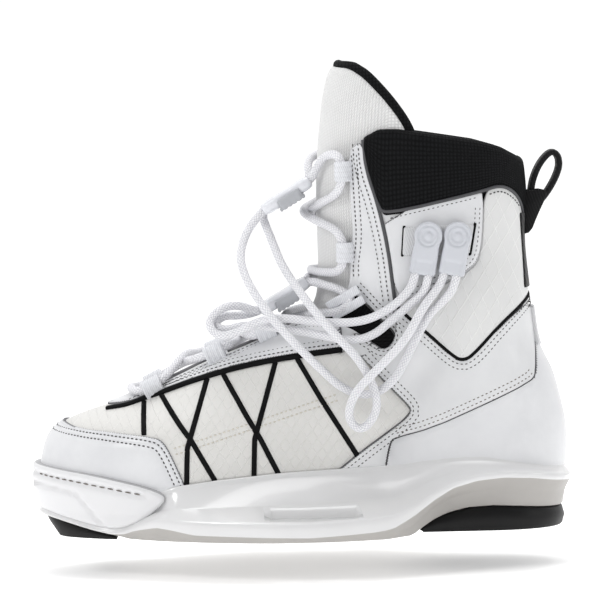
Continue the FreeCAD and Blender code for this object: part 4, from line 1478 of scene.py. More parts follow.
    def seams(self, shop: Workshop, form: BootForm) -> None:
        """Every visible row of stitching."""
        toe_edge = [(-152, 65.4), (-136, 63.5), (-114, 62), (-91, 59.8), (-86, 57), (-82.3, 51.5),
                    (-77, 39.5), (-73, 30)]
        gusset_edge = [(38.4, 129), (43, 123), (49, 118), (50, 114), (44, 106.5), (35.7, 112),
                       (25.6, 118.8)]
        rows = [
            ("toe_stitches", toe_edge, (2.4, 5.6), "thread_dark", 1.25),
            ("throat_stitches", self.throat + [(15, 124)], (2.6, 5.8), "thread_dark", 1.25),
            ("piping_stitches", [(x, z + 1.2) for x, z in self.piping[1:]], (-2.4, -5.2),
             "thread_dark", 1.25),
            ("eyestay_front_stitches", self.shaft_front[1:], (2.6, 5.8), "thread_dark", 1.45),
            ("eyestay_rear_stitches", self.eyestay_rear, (3.2, 6.4), "thread_dark", 1.45),
            ("eyestay_foot_stitches", [(26, 144), (33, 136.5), (38.4, 129.8), (45, 122.8)],
             (-2.5, -5.4), "thread_dark", 1.45),
            ("gusset_stitches", gusset_edge, (-2.0, -4.6), "thread_dark", 1.15),
            ("strip_stitches", [(-81.7, 52.7), (-40, 65), (16.4, 82.1)], (0.0, 3.6), "thread_cream",
             0.2),
            ("vamp_rear_stitches", self.vamp_rear[1:], (-2.4, -5.4), "thread_dark", 1.15),
            ("cuff_foot_stitches", self.cuff_foot[1:], (2.8, 5.8), "thread_dark", 1.15),
            ("counter_stitches", self.counter[2:], (-2.4, -5.2), "thread_brown", 1.15),
            ("patch_foot_stitches", [(52, 137.6), (59.5, 136), (82, 147), (94.6, 153.5), (98.6, 159),
                                     (101, 171), (102.3, 190)], (-2.4, -5.2), "thread_dark", 1.2),
            ("patch_top_stitches", [(46, 185.5), (99, 197)], (2.6,), "thread_dark", 1.2),
            ("cuff_top_stitches", [(103.5, 197.6), (112, 200.6), (120, 196.2), (124.5, 189.5)],
             (2.6,), "thread_dark", 1.1),
        ]
        for name, line, offsets, finish, lift in rows:
            Stitching(name, line, offsets, finish, lift).make(shop, form)

    def make(self, shop: Workshop, form: BootForm) -> None:
        """Build the whole upper."""
        self.shells(shop, form)
        self.lining(shop, form)
        self.leathers(shop, form)
        self.trims(shop, form)
        self.seams(shop, form)


@dataclass
class ToeBumper:
    """Thick rubber bumper wrapped round the toe, with its sewn groove."""

    edge: Outline = field(default_factory=lambda: [
        (-148, 40.8), (-125, 38.2), (-104, 33.8), (-90, 29.6), (-83.5, 25.5), (-89.5, 18.5),
        (-98, 12.6), (-109, 8), (-117, 7.4), (-127, 9.4), (-148, 14.5)])
    seam: Outline = field(default_factory=lambda: [(-157, 36.8), (-129, 33.4), (-95.6, 27)])
    fold: tuple[tuple[float, float], ...] = ((-175, 32.2), (-148, 30.2), (-135, 27.9), (-118.7, 8.2))
    thick: float = 4.4

    def make(self, shop: Workshop, form: BootForm) -> None:
        """Build the bumper.

        Args:
            shop: the mesh maker.
            form: the boot's surface.
        """
        top = form.middle(42.0, Wrap.FRONT)
        low = form.middle(17.5, Wrap.FRONT)
        Sheet("toe_bumper", [top] + self.edge + [low], "bumper_rubber", Wrap.FRONT, thick=self.thick,
              lift=1.3, edge=1.3, rounds=1, spacing=1.5, nodes=("toe_bumper",),
              slot="bumper_rubber", rim="shadow_edge", creases=((self.fold, 1.5, 0.8), (
                  tuple([(-175, 38.2)] + self.seam), 1.4, 1.1))).make(shop, form)
        Stitching("bumper_stitches", self.seam, (0.0,), "thread_brown", self.thick + 0.75,
                  pitch=5.2, length=3.9, width=0.8).make(shop, form)


@dataclass
class Collar:
    """Padded collar rolled over the top of the shaft."""

    top: Outline = field(default_factory=lambda: [
        (33.5, 230.5), (42, 235), (53, 235), (66, 233), (100, 227.5), (114, 223.5), (125, 217.5)])
    foot: Outline = field(default_factory=lambda: [
        (33.5, 226), (36, 211), (41.5, 191), (45, 185.5), (99, 197), (112, 201), (120, 197),
        (124.5, 190.5), (126.6, 181)])
    roll: float = 4.6

    def make(self, shop: Workshop, form: BootForm) -> bpy.types.Object:
        """Build the collar.

        Args:
            shop: the mesh maker.
            form: the boot's surface.

        Returns:
            The new object.
        """
        steps = 150
        tops = np.array([(form.turn_at(x, z, 1.0), z) for x, z in resample(np.array(self.top), 1.0)])
        feet = np.array([(form.turn_at(x, z, 1.0), z) for x, z in resample(np.array(self.foot), 1.0)])
        start = tops[0, 0]
        turns = np.linspace(start, 2 - start, steps)
        near = np.where(turns > 1, 2 - turns, turns)
        high = np.interp(near, tops[:, 0], tops[:, 1])
        low = np.interp(near, np.maximum.accumulate(feet[:, 0]), feet[:, 1])
        end = np.clip(np.minimum(turns - start, 2 - start - turns) / 0.03, 0, 1)
        profile = self.profile()
        rings = []
        for turn, top, bottom, fade in zip(turns, high, low, end):
            swell = 0.35 + 0.65 * math.sqrt(fade)
            rows = []
            for share, drop, lift in profile:
                z = bottom + (top - bottom) * share + drop
                rows.append((turn, z, lift * swell if lift > 0 else lift * (0.55 + 0.45 * fade)))
            rows = np.array(rows)
            rings.append(form.sample(rows[:, :2], rows[:, 2]))
        count = len(profile)
        middle = rings[steps // 4]
        rise = np.concatenate([[0], np.cumsum(np.linalg.norm(np.diff(middle, axis=0), axis=1))])
        uv = np.vstack([np.column_stack([np.full(count, turn * ROUND), rise]) for turn in turns])
        obj = shop.loft("collar_pad", rings, "black_mesh", nodes=("collar_pad",), slot="black_mesh",
                        levels=1, uv=uv)
        Piping("collar_seam", self.foot[1:], 1.0, "grey_strip", lift=1.1, flat=0.8).make(shop, form)
        return obj

    def profile(self) -> list[tuple[float, float, float]]:
        """Section of the pad: share of its height, extra height and lift off the surface."""
        rows = [(0.0, 0.0, 0.3), (0.0, 2.0, 1.7), (0.12, 1.0, 2.6), (0.35, 0.0, 3.0), (0.62, 0.0, 2.9),
                (0.85, 0.0, 2.5)]
        for i in range(9):
            angle = math.radians(10 + 160 * i / 8)
            rows.append((1.0, -self.roll + self.roll * math.sin(angle),
                         -2.4 + self.roll * math.cos(angle)))
        rows += [(0.85, -2.0, -7.2), (0.5, 0.0, -6.6), (0.2, -3.0, -6.2), (0.0, -8.0, -5.6),
                 (0.0, -6.0, -2.6)]
        return rows


@dataclass
class Tongue:
    """Padded tongue laid along the front of the shaft."""

    edge: Outline = field(default_factory=lambda: [
        (17, 275), (25, 273.5), (33, 268), (40, 261), (47, 253.5), (53, 246), (58.5, 238),
        (61.5, 231)])
    rear: Outline = field(default_factory=lambda: [
        (62, 200), (55, 165), (44, 140), (36, 120), (20, 112), (-20, 92), (-60, 78), (-96, 72)])

    def make(self, shop: Workshop, form: BootForm) -> None:
        """Build the tongue, its lining and its binding.

        Args:
            shop: the mesh maker.
            form: the boot's surface.
        """
        top = form.middle(276.0, Wrap.FRONT)
        low = form.middle(72.0, Wrap.FRONT)
        outline = [top] + self.edge + self.rear + [low]
        face = Sheet("tongue", outline, "tongue_mesh", Wrap.FRONT, thick=5.4, lift=-8.4, edge=3.4,
                     puff=0.4, rounds=1, spacing=3.6, nodes=("tongue_lower", "tongue_top"),
                     slot="tongue_mesh", body="").make(shop, form)
        back = Sheet("tongue_lining", outline, "lining_fabric", Wrap.FRONT, thick=1.2, lift=-9.4,
                     rounds=1, spacing=4.5, slot="lining_fabric", body="").make(shop, form)
        rim = Piping("tongue_binding", [top] + self.edge, 3.1, "black_mesh", lift=-5.9, flat=1.0,
                     sides=Wrap.FRONT, slot="black_mesh", body="").make(shop, form)
        for obj in face + back + rim:
            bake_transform(obj)


# ---------------------------------------------------------------- sole unit
def crisp(profile: list[tuple[float, float]], radius: float = 0.6) -> list[tuple[float, float]]:
    """Cut each corner of a closed profile a little, so that its edges catch the light.

    Args:
        profile: corner points.
        radius: how far the cut reaches along each side.

    Returns:
        Two points for every corner.
    """
    points = np.array(profile, dtype=float)
    result = []
    for before, here, after in zip(np.roll(points, 1, axis=0), points, np.roll(points, -1, axis=0)):
        for other in (before, after):
            gap = other - here
            length = np.linalg.norm(gap) + 1e-9
            result.append(tuple(here + gap * min(0.45, radius / length)))
    return result


def at(table: Outline, x: np.ndarray | float) -> np.ndarray:
    """Height of a line through x-z points at x."""
    rows = np.array(table, dtype=float)
    return np.interp(x, rows[:, 0], rows[:, 1])


@dataclass
class Slab:
    """Flat solid inside a plan outline, with rounded rims and shaped faces."""

    name: str
    outline: np.ndarray
    finish: str
    low: Height
    high: Height
    edge: float = 1.0
    spacing: float = 4.0
    frame: np.ndarray | None = None
    body: str = "boot"
    nodes: tuple[str, ...] = ()
    slot: str = ""
    waist: float = 0.0
    tread: float = 0.0

    def make(self, shop: Workshop) -> bpy.types.Object:
        """Build the solid.

        Args:
            shop: the mesh maker.

        Returns:
            The new object.
        """
        ring = resample(self.outline, self.spacing / 2, closed=True)
        tangent = headings(ring, closed=True)
        inward = np.column_stack([-tangent[:, 1], tangent[:, 0]])
        if not inside(ring[:1] + inward[:1] * 0.5, ring)[0]:
            inward = -inward
        rims = [ring + inward * self.edge, ring + inward * self.edge * 0.3,
                ring - inward * self.waist, ring + inward * self.edge * 0.3]
        inner = rims[0]
        places = np.vstack([inner, self.filling(inner)])
        count = len(ring)
        edges = [(i, (i + 1) % count) for i in range(count)]
        verts, _, faces, origin, _, _ = delaunay_2d_cdt(
            [Vector(p) for p in places], edges, [list(range(count))], 1, 1e-4)
        flat = np.array([(v.x, v.y) for v in verts])
        order = [next(i for i, o in enumerate(origin) if k in o) for k in range(count)]
        top = np.column_stack([flat, self.high(flat[:, 0], flat[:, 1])])
        bottom = np.column_stack([flat, self.low(flat[:, 0], flat[:, 1])])
        if self.tread:
            waves = np.maximum(np.sin(flat.sum(axis=1) * 0.75), np.sin((flat[:, 0] - flat[:, 1]) * 0.75))
            deep = np.clip((Sheet.nearest(flat, ring) - 4.0) / 1.5, 0, 1)
            bottom[:, 2] += self.tread * deep * np.clip((waves - 0.80) / 0.12, 0, 1)
        levels = [bottom[order]]
        for rim, share in zip(rims[1:], (0.0, 0.5, 1.0)):
            low, high = self.low(rim[:, 0], rim[:, 1]), self.high(rim[:, 0], rim[:, 1])
            drop = self.edge * (0.7 if share in (0.0, 1.0) else 0.0) * (1 - 2 * share)
            levels.append(np.column_stack([rim, low + (high - low) * share + drop]))
        total = len(flat)
        points = np.vstack([top, bottom, *levels[1:]])
        all_faces = [tuple(f) for f in faces] + [tuple(i + total for i in f[::-1]) for f in faces]
        rows = [[i + total for i in order]]
        rows += [[2 * total + k * count + i for i in range(count)] for k in range(3)]
        rows.append(order)
        for lower, upper in zip(rows[:-1], rows[1:]):
            all_faces += [(lower[i], lower[(i + 1) % count], upper[(i + 1) % count], upper[i])
                          for i in range(count)]
        uv = points[:, :2]
        if self.frame is not None:
            points = put(points, self.frame)
        return shop.piece(self.name, points, all_faces, self.finish, self.body, self.nodes,
                          self.slot, uv=uv)

    def filling(self, ring: np.ndarray) -> np.ndarray:
        """Even points inside the ring."""
        low, high = ring.min(axis=0), ring.max(axis=0)
        xs = np.arange(low[0] + self.spacing / 2, high[0], self.spacing)
        ys = np.arange(low[1] + self.spacing / 2, high[1], self.spacing)
        places = np.array([(x, y) for x in xs for y in ys])
        places = places[inside(places, ring)]
        return places[Sheet.nearest(places, ring) > self.spacing * 0.4]


@dataclass
class SoleUnit:
    """Moulded chassis with bolt flanges, its grip pads, and the layers inside it."""

    top: Outline = field(default_factory=lambda: [
        (-180, 22), (-100, 24), (-80, 31.4), (-56, 34.3), (-18, 37.2), (15, 38.5), (47, 40),
        (64, 42.6), (88, 44.7), (100, 44.4), (123, 41.3), (145, 36.7), (160, 33)])
    ridge: Outline = field(default_factory=lambda: [
        (-180, 18), (-155, 14), (-148, 12.6), (-127, 7.4), (-117, 5.6), (-109, 6.2), (-98, 10.5),
        (-89.5, 13.6), (-82, 14), (-66, 13.3), (-8, 11.9), (16, 12.9), (34, 13.8),
        (47, 15.2), (58, 19.6), (70, 26.3), (82, 31.4), (95, 34.7), (110, 36), (123, 35), (135, 32.6),
        (165, 28)])
    flange: Outline = field(default_factory=lambda: [
        (-104, 50), (-92, 61), (-62, 76), (-25, 88), (12, 88), (42, 80), (60, 70.5), (80, 60.5),
        (100, 55), (120, 51), (137, 43), (148, 30), (152.3, 12)])
    under: Outline = field(default_factory=lambda: [
        (-180, 16), (-155, 11.8), (-108, 0.3), (-100, 0), (57, 0), (63.5, 4.2), (70, 7.8), (77, 10.6),
        (90, 13.8), (105, 14.6), (120, 13.7), (135, 12.3), (165, 9.8)])
    bolt_y: float = 76.2
    slot_x: float = 14.0
    slot_radius: float = 3.3
    slot_half: float = 6.7
    stations: int = 300

    def make(self, shop: Workshop, form: BootForm) -> None:
        """Build the sole unit.

        Args:
            shop: the mesh maker.
            form: the boot's surface.
        """
        chassis = self.rim(shop, form)
        shop.cut(chassis, self.pockets(shop))
        self.plates(shop, form)
        self.pads(shop, form)

    def reach(self, base: np.ndarray, way: np.ndarray) -> np.ndarray:
        """How far out the flange reaches at each station."""
        near = np.array(self.flange)
        ring = np.vstack([near * (1, -1), near[::-1]])
        after = np.roll(ring, -1, axis=0)
        result = np.full(len(base), 2.4)
        for k, (p, d) in enumerate(zip(base, way)):
            edge = after - ring
            det = d[0] * -edge[:, 1] + d[1] * edge[:, 0]
            gap = ring - p
            with np.errstate(divide="ignore", invalid="ignore"):
                t = (gap[:, 0] * -edge[:, 1] + gap[:, 1] * edge[:, 0]) / det
                s = (d[0] * gap[:, 1] - d[1] * gap[:, 0]) / det
            hit = t[(t > 0) & (s >= 0) & (s <= 1)]
            if len(hit) and p[0] > -103:
                result[k] = max(2.4, hit.max())
        soft = np.concatenate([result[-6:], result, result[:6]])
        return np.convolve(soft, np.hanning(15)[1:-1] / np.hanning(15).sum(), "same")[6:-6]

    def section(self, x: float, reach: float) -> list[tuple[float, float]]:
        """Profile at one station: distance out from the upper, and height."""
        top, ridge, low = (float(at(t, x)) for t in (self.top, self.ridge, self.under))
        ridge = min(ridge, top - 2.0)
        heel = min(1.0, max(0.0, (x - 42.0) / 38.0))
        toe = min(1.0, max(0.0, (-70.0 - x) / 34.0))
        face = (8.0 - 4.6 * heel) * (1 - toe) + 2.0 * toe
        foot = max(low, ridge - face)
        out = max(reach, 3.4) if x > -84 else reach
        wall = (1 - heel) * (out - 4.6) + heel * 1.0
        wall = min(wall, out - 0.4)
        hollow = ((1 - heel) * (out - 2.3) + heel * (1.0 + (out - 1.0) * 0.30),
                  low + (foot - low) * (0.5 + 0.06 * heel))
        nose = min(1.0, max(0.0, (-80.0 - x) / 9.0))
        slim = 1 - 0.7 * nose
        slope = (3.2 * slim + (out - 3.2) * 0.42 * (1 - 0.95 * nose),
                 ridge + (top - 3.0 - ridge) * (0.36 + 0.1 * heel))
        return [(-3.0, 21.0), (0.9 * slim, top - 1.2), (1.3 * slim, top), (2.9 * slim, top - 0.2),
                (3.2 * slim, top - 3.0), slope,
                (out - 0.9, ridge), (out, ridge - 0.8), (out - 0.2, foot), hollow, (wall, low + 0.3),
                (-16.0, low), (-16.0, low + 3.5)]

    def rim(self, shop: Workshop, form: BootForm) -> bpy.types.Object:
        """Tray wall, flange and heel flare as one ring round the boot."""
        turns = np.linspace(-1, 1, self.stations, endpoint=False)
        base, normal = form.look(np.column_stack([turns, np.full(self.stations, 30.0)]))
        way = normal[:, :2] / np.linalg.norm(normal[:, :2], axis=1, keepdims=True)
        out = self.reach(base[:, :2], way)
        rings = []
        for p, d, reach in zip(base, way, out):
            profile = np.array(crisp(self.section(p[0], reach), 0.7))
            rings.append(np.column_stack([p[:2] + profile[:, :1] * d, profile[:, 1]]))
        count = len(rings[0])
        faces, finishes = [], []
        for r in range(self.stations):
            s = (r + 1) % self.stations
            for c in range(count):
                d = (c + 1) % count
                faces.append((r * count + c, r * count + d, s * count + d, s * count + c))
                # faces 17 to 24 of each profile, the concave wall and underside below the flange, get the
                # darker copy of the white plastic as painted shade
                finishes.append(1 if 17 <= c <= 24 else 0)
        return shop.piece("sole_chassis", np.vstack(rings), faces, "chassis_gloss",
                          nodes=("sole_chassis",), slot="chassis_gloss", extra=("chassis_painted_shade",),
                          face_finish=finishes)

    def pockets(self, shop: Workshop) -> list[bpy.types.Object]:
        """Shapes of the screw pockets and slots, to be cut away."""
        cutters = []
        for side in (-1, 1):
            corner = np.array(crisp([(-28, -5), (-28, 4.4), (28, 4.4), (28, -5)], 4.0))
            corner = corner * (1, side) + (0, side * self.bolt_y)
            cutters.append(self.plug(shop, f"pocket_{side}", corner, 8.0, 60.0))
            for x in (-self.slot_x, self.slot_x):
                round_end = self.slot_radius * np.column_stack(circle(32))
                round_end[:, 0] += np.where(round_end[:, 0] > 0, self.slot_half, -self.slot_half)
                cutters.append(self.plug(shop, f"slot_{x}_{side}", round_end + (x, side * self.bolt_y),
                                         -5.0, 12.0))
        return cutters

    @staticmethod
    def plug(shop: Workshop, name: str, outline: np.ndarray, low: float, high: float
             ) -> bpy.types.Object:
        """Straight-sided cutter between two heights."""
        rings = [np.column_stack([outline, np.full(len(outline), z)]) for z in (low, high)]
        return shop.loft(name, rings, "chassis_gloss")

    def footprint(self, form: BootForm, inset: float, start: float = -400, stop: float = 400
                  ) -> np.ndarray:
        """Plan outline of the boot moved inwards, between two x positions."""
        turns = np.linspace(-1, 1, 160, endpoint=False)
        base, normal = form.look(np.column_stack([turns, np.full(160, 30.0)]))
        ring = (base - normal * inset)[:, :2]
        keep = (ring[:, 0] > start) & (ring[:, 0] < stop)
        if keep.all():
            return ring
        ring = np.roll(ring, -int(np.argmax(keep & ~np.roll(keep, 1))), axis=0)
        keep = (ring[:, 0] > start) & (ring[:, 0] < stop)
        return ring[keep]

    def plates(self, shop: Workshop, form: BootForm) -> None:
        """Chassis floor, midsole foam, lasting board and footbed."""
        rows = [
            # the chassis floor takes the same darker painted-shade copy of the white plastic
            ("chassis_floor", 5.0, "chassis_painted_shade", lambda x, y: at(self.under, x) + 0.2 + 0 * y,
             lambda x, y: at(self.under, x) + 3.0 + 0 * y, (), ""),
            ("midsole_foam", 3.0, "foam", lambda x, y: 15.5 + 0 * x, lambda x, y: 21.4 + 0 * x,
             ("midsole_foam",), "foam"),
            ("lasting_board", 4.0, "foam", lambda x, y: 22.0 + 0 * x, lambda x, y: 24.6 + 0 * x,
             ("lasting_board",), "board"),
            ("footbed", 8.0, "lining_fabric", lambda x, y: 25.2 + 0 * x,
             lambda x, y: 29.6 + 2.8 * np.clip((x - 20) / 60, 0, 1) + 0.002 * y * y, ("footbed",),
             "footbed_fabric"),
        ]
        for name, inset, finish, low, high, nodes, slot in rows:
            Slab(name, self.footprint(form, inset), finish, low, high, nodes=nodes,
                 slot=slot, spacing=5.0).make(shop)

    def pads(self, shop: Workshop, form: BootForm) -> None:
        """Rubber grip pads under the heel and the toe."""
        Slab("heel_grip_pad", self.footprint(form, -1.2, start=60), "grip_rubber",
             lambda x, y: 0 * x, lambda x, y: at(self.under, x) - 0.35 + 0 * y, spacing=2.6,
             edge=1.2, waist=0.9, tread=0.9,
             nodes=("heel_grip_pad",), slot="grip_rubber").make(shop)
        toe_low: Outline = [(-160, 12), (-153, 5.3), (-149, 0.4), (-145, 0), (-100, 0)]
        Slab("toe_grip_pad", self.footprint(form, 2.4, stop=-111), "grip_rubber",
             lambda x, y: at(toe_low, x), lambda x, y: np.maximum(
                 at(self.under, x) - 0.35, at(toe_low, x) + 0.8), spacing=2.6, edge=0.6, tread=0.9,
             nodes=("toe_grip_pad",), slot="grip_rubber").make(shop)


# ---------------------------------------------------------------- lacing
def turned(axis: str, degrees: float) -> np.ndarray:
    """Rotation matrix about one axis."""
    return np.array(Matrix.Rotation(math.radians(degrees), 3, axis))


def framed(rotation: np.ndarray, place: tuple[float, float, float]) -> np.ndarray:
    """Rotation and place as one 4 by 4 matrix."""
    frame = np.eye(4)
    frame[:3, :3], frame[:3, 3] = rotation, place
    return frame


@dataclass
class Lace:
    """One round braided lace from its handle, through its lock and round the boot."""

    name: str
    lead_a: list[Triple]
    lacing: list[Triple]
    lead_b: list[Triple]
    nodes: tuple[str, ...]
    diameter: float = 5.0
    strands: int = 8

    def line(self) -> np.ndarray:
        """Points in metres along the lace, read from its own smooth curve."""
        route = [tuple(c * MM for c in p) for p in self.lead_a[::-1] + self.lacing + self.lead_b]
        curve = bpy.data.curves.new(self.name + "_route", "CURVE")
        curve.dimensions = "3D"
        curve.resolution_u = 14
        spline = curve.splines.new("NURBS")
        spline.points.add(len(route) - 1)
        for point, place in zip(spline.points, route):
            point.co = (*place, 1.0)
        spline.order_u = 3
        spline.use_endpoint_u = True
        guide = bpy.data.objects.new(self.name + "_route", curve)
        mesh = bpy.data.meshes.new_from_object(guide)
        points = np.array([tuple(v.co) for v in mesh.vertices])
        bpy.data.objects.remove(guide)
        bpy.data.meshes.remove(mesh)
        bpy.data.curves.remove(curve)
        return points

    def make(self, shop: Workshop, ends: list[bpy.types.Object]) -> bpy.types.Object:
        """Args:
            shop: the mesh maker.
            ends: not used.

        Returns:
            The new object.
        """
        line = self.line()
        path = resample(line / MM, 0.7)
        tangent = headings(path)
        normal = carried_normals(tangent)
        across = np.cross(tangent, normal)
        along = np.concatenate([[0], np.cumsum(np.linalg.norm(np.diff(path, axis=0), axis=1))])
        angle = np.linspace(0, 2 * math.pi, 24, endpoint=False)
        half = self.strands / 2
        once = math.pi * self.diameter
        rings, laid = [], []
        for p, a, n, s in zip(path, across, normal, along):
            twist = s * math.pi / 2.3
            weave = np.abs(np.sin(half * angle + twist) * np.sin(half * angle - twist))
            radius = self.diameter / 2 - 0.16 + 0.18 * np.sqrt(weave)
            rings.append(p + radius[:, None] * (np.outer(np.cos(angle), a) + np.outer(np.sin(angle), n)))
            laid.append(np.column_stack([angle / (2 * math.pi) * once, np.full(24, s)]))
        obj = shop.loft(self.name, rings, "lace_braid", nodes=self.nodes, slot="lace_cord",
                        uv=np.vstack(laid), wrap=once)
        return obj


@dataclass
class WebbingLoop:
    """Ribbed webbing arch that a lace runs through."""

    length: float = 11.6
    bore: float = 2.9
    thick: float = 1.3
    foot: float = 10.5
    ribs: int = 4

    def make(self, shop: Workshop, name: str, frame: np.ndarray, nodes: tuple[str, ...] = ()
             ) -> bpy.types.Object:
        """Build one arch.

        Args:
            shop: the mesh maker.
            name: piece name.
            frame: 4 by 4 placing matrix; the lace runs along its x axis.
            nodes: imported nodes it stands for.

        Returns:
            The new object.
        """
        middle = self.bore + self.thick / 2
        arch = [(-middle, -self.foot), (-middle, -self.foot / 2), (-middle, -1.0)]
        arch += [(-middle * math.cos(a), middle * math.sin(a)) for a in np.linspace(0.1, 3.04, 15)]
        arch += [(middle, -1.0), (middle, -self.foot / 2), (middle, -self.foot)]
        line = resample(np.array(arch), 1.2)
        tangent = headings(line)
        outward = np.column_stack([-tangent[:, 1], tangent[:, 0]])
        across = np.linspace(-self.length / 2, self.length / 2, 33)
        swell = 0.34 * np.abs(np.sin(math.pi * self.ribs * (across / self.length + 0.5)))
        edge = np.clip((self.length / 2 - np.abs(across)) / 0.8, 0, 1) ** 0.5
        rise = (self.thick / 2) * (0.45 + 0.55 * edge) + swell * edge
        rings = []
        for p, out in zip(line, outward):
            upper = [(x, *(p + out * h)) for x, h in zip(across, rise)]
            lower = [(x, *(p - out * self.thick / 2 * e)) for x, e in zip(across[::-1],
                                                                         0.45 + 0.55 * edge[::-1])]
            rings.append(put(np.array(upper + lower), frame))
        return shop.loft(name, rings, "loop_webbing", nodes=nodes, slot="lace_loop")


@dataclass
class Lacing:
    """Both laces with their loops, hooks, locks and pull handles."""

    lock_lean: float = 31.0
    handle_lean: float = 11.0
    strand_gap: float = 4.5
    end_gap: float = 3.8
    locks: dict[str, Triple] = field(default_factory=lambda: {
        "upper": (-11.5, -14.0, 197.0), "lower": (-14.2, -14.0, 138.2)})
    handles: dict[str, Triple] = field(default_factory=lambda: {
        "lower": (68.5, -52.0, 165.5), "upper": (85.5, -52.0, 165.0)})
    shaft_loops: tuple[Triple, ...] = ((21.0, -42.0, 211.0), (21.0, -42.0, 164.0))
    instep_loops: tuple[tuple[Triple, float], ...] = (
        ((-25.5, -21.5, 118.0), 22.0), ((-56.0, -22.0, 107.0), 22.0), ((-93.0, -22.0, 88.0), 27.0))

    def laces(self) -> list[Lace]:
        """The two lace routes, in millimetres."""
        upper = Lace(
            "upper_lace",
            [(-15.4, -18.5, 194.7), (-27, -18.5, 187.7), (-37, -24, 174), (-40, -34, 158),
             (-29, -47, 137), (-12, -51, 116), (4, -52, 99.5), (20, -50.5, 84), (36, -50.5, 81),
             (49, -51.5, 90), (58, -52, 107), (69, -52, 128), (79.8, -52, 137), (84.8, -52, 144.3),
             (86.8, -52, 155)],
            [(-7.6, -18.5, 199.3), (3.1, -18.5, 205.8), (7, -21.5, 214), (12, -29, 221),
             (21, -42, 220.5), (21, -42, 199.5), (7.5, -21, 192), (1.5, 0, 186.5), (7.5, 21, 182),
             (21, 42, 175.5), (21, 42, 152.5), (7, 23, 152), (0.2, 0, 153), (7, -23, 152),
             (21, -42, 152.5), (21, -42, 175.5), (5.5, -21, 182), (-4, 0, 187.5), (5.5, 21, 192),
             (21, 42, 199.5), (21, 42, 220.5), (10, 25, 221.5), (0.5, 2, 217), (3.1, -9.5, 205.8),
             (-7.6, -9.5, 199.3)],
            [(-15.4, -9.5, 194.7), (-27, -9.5, 187.7), (-22.5, -18.5, 176), (-19, -25, 167),
             (-15, -31, 157), (-8, -38, 146), (4, -55, 130), (17, -58, 115), (27.5, -58, 104),
             (36.5, -57, 88), (39, -57, 73), (29, -57, 60.5), (20.5, -58, 69), (25, -62, 84),
             (37, -64.5, 96), (55, -61, 113), (65, -57.5, 131), (72.5, -53, 140), (77.7, -52, 147),
             (79.4, -52, 155.5)],
            ("upper_lead_a", "upper_lacing", "upper_lead_b"))
        lower = Lace(
            "lower_lace",
            [(-18.1, -18.5, 135.9), (-29.5, -18.5, 129), (-40, -22, 134), (-51, -27, 133),
             (-59.5, -32, 124.5), (-53, -37, 116), (-41, -39, 119), (-27, -40.5, 126.5),
             (-12, -43, 126.8), (10, -49, 123.8), (31, -51.6, 124), (46.5, -52, 131), (57, -52, 140),
             (61.3, -52, 147.5), (62.9, -52, 156)],
            [(-10.3, -18.5, 140.5), (0.6, -18.5, 147), (7, -25.5, 145.5), (19, -38, 142.5),
             (26.5, -43.5, 136.5), (17, -37.5, 129), (4, -26, 128.5), (-11, 0, 124.5),
             (-16.5, 21, 121.7), (-34.5, 22, 114.3), (-41, 0, 112), (-47, -21.5, 110.7),
             (-65, -22.5, 103.3), (-75, 0, 99.5), (-84, 26, 92.5), (-102, 26.5, 83.5), (-107, 0, 86),
             (-102, -22, 83.5), (-84, -21.5, 92.5), (-74, 0, 105.2), (-65, 23.4, 103.3),
             (-47, 22.4, 110.7), (-40, 0, 117.6), (-34.5, -22, 114.3), (-16.5, -21, 121.7),
             (-13, 0, 128.7), (4, 26, 130), (17, 37.5, 129), (26.5, 43.5, 136.5), (20, 38, 143.5),
             (8.5, 22, 147.5), (-0.5, 3, 148.8), (0.6, -9.5, 147), (-10.3, -9.5, 140.5)],
            [(-18.1, -9.5, 135.9), (-29.5, -9.5, 129), (-40, -14, 127), (-50, -22, 128),
             (-56, -28.5, 123), (-49, -31.5, 119.5), (-40, -33.5, 122.5), (-30, -35, 122.5),
             (-15, -37.5, 120.5), (3, -46, 117.5), (24, -51.6, 113), (37, -51.6, 116),
             (48, -51.8, 125), (58.5, -52, 133.6), (66.3, -52, 140), (68.8, -52, 146.5),
             (70.4, -52, 154.5)],
            ("lower_lead_a", "lower_lacing", "lower_lead_b"))
        return [upper, lower]

    def make(self, shop: Workshop, form: BootForm) -> None:
        """Build all of the lacing."""
        self.loops(shop, form)
        self.hooks(shop)
        for name, lace in zip(("upper", "lower"), self.laces()):
            housing = self.lock(shop, name)
            handle = self.handle(shop, name)
            lace.make(shop, [housing, handle])

    def loops(self, shop: Workshop, form: BootForm) -> None:
        """Ribbed loops on the shaft and the instep."""
        mirror = np.diag([1.0, -1.0, 1.0, 1.0])
        for i, place in enumerate(self.shaft_loops):
            rotation = turned("Z", -31) @ turned("Y", -90) @ turned("X", 90)
            frame = framed(rotation, place)
            for word, use in (("lateral", frame), ("medial", mirror @ frame)):
                WebbingLoop().make(shop, f"shaft_loop_{i}_{word}", use,
                                   ("shaft_loops",) if i == 0 and word == "lateral" else ())
        for i, (place, lean) in enumerate(self.instep_loops):
            frame = framed(turned("Y", -lean) @ turned("X", 32), place)
            far = mirror @ frame
            far[1, 3] += 2 * float(form.centreline(np.array(place[0])))
            for word, use in (("lateral", frame), ("medial", far)):
                WebbingLoop().make(shop, f"instep_loop_{i}_{word}", use,
                                   ("instep_loops",) if i == 0 and word == "lateral" else ())

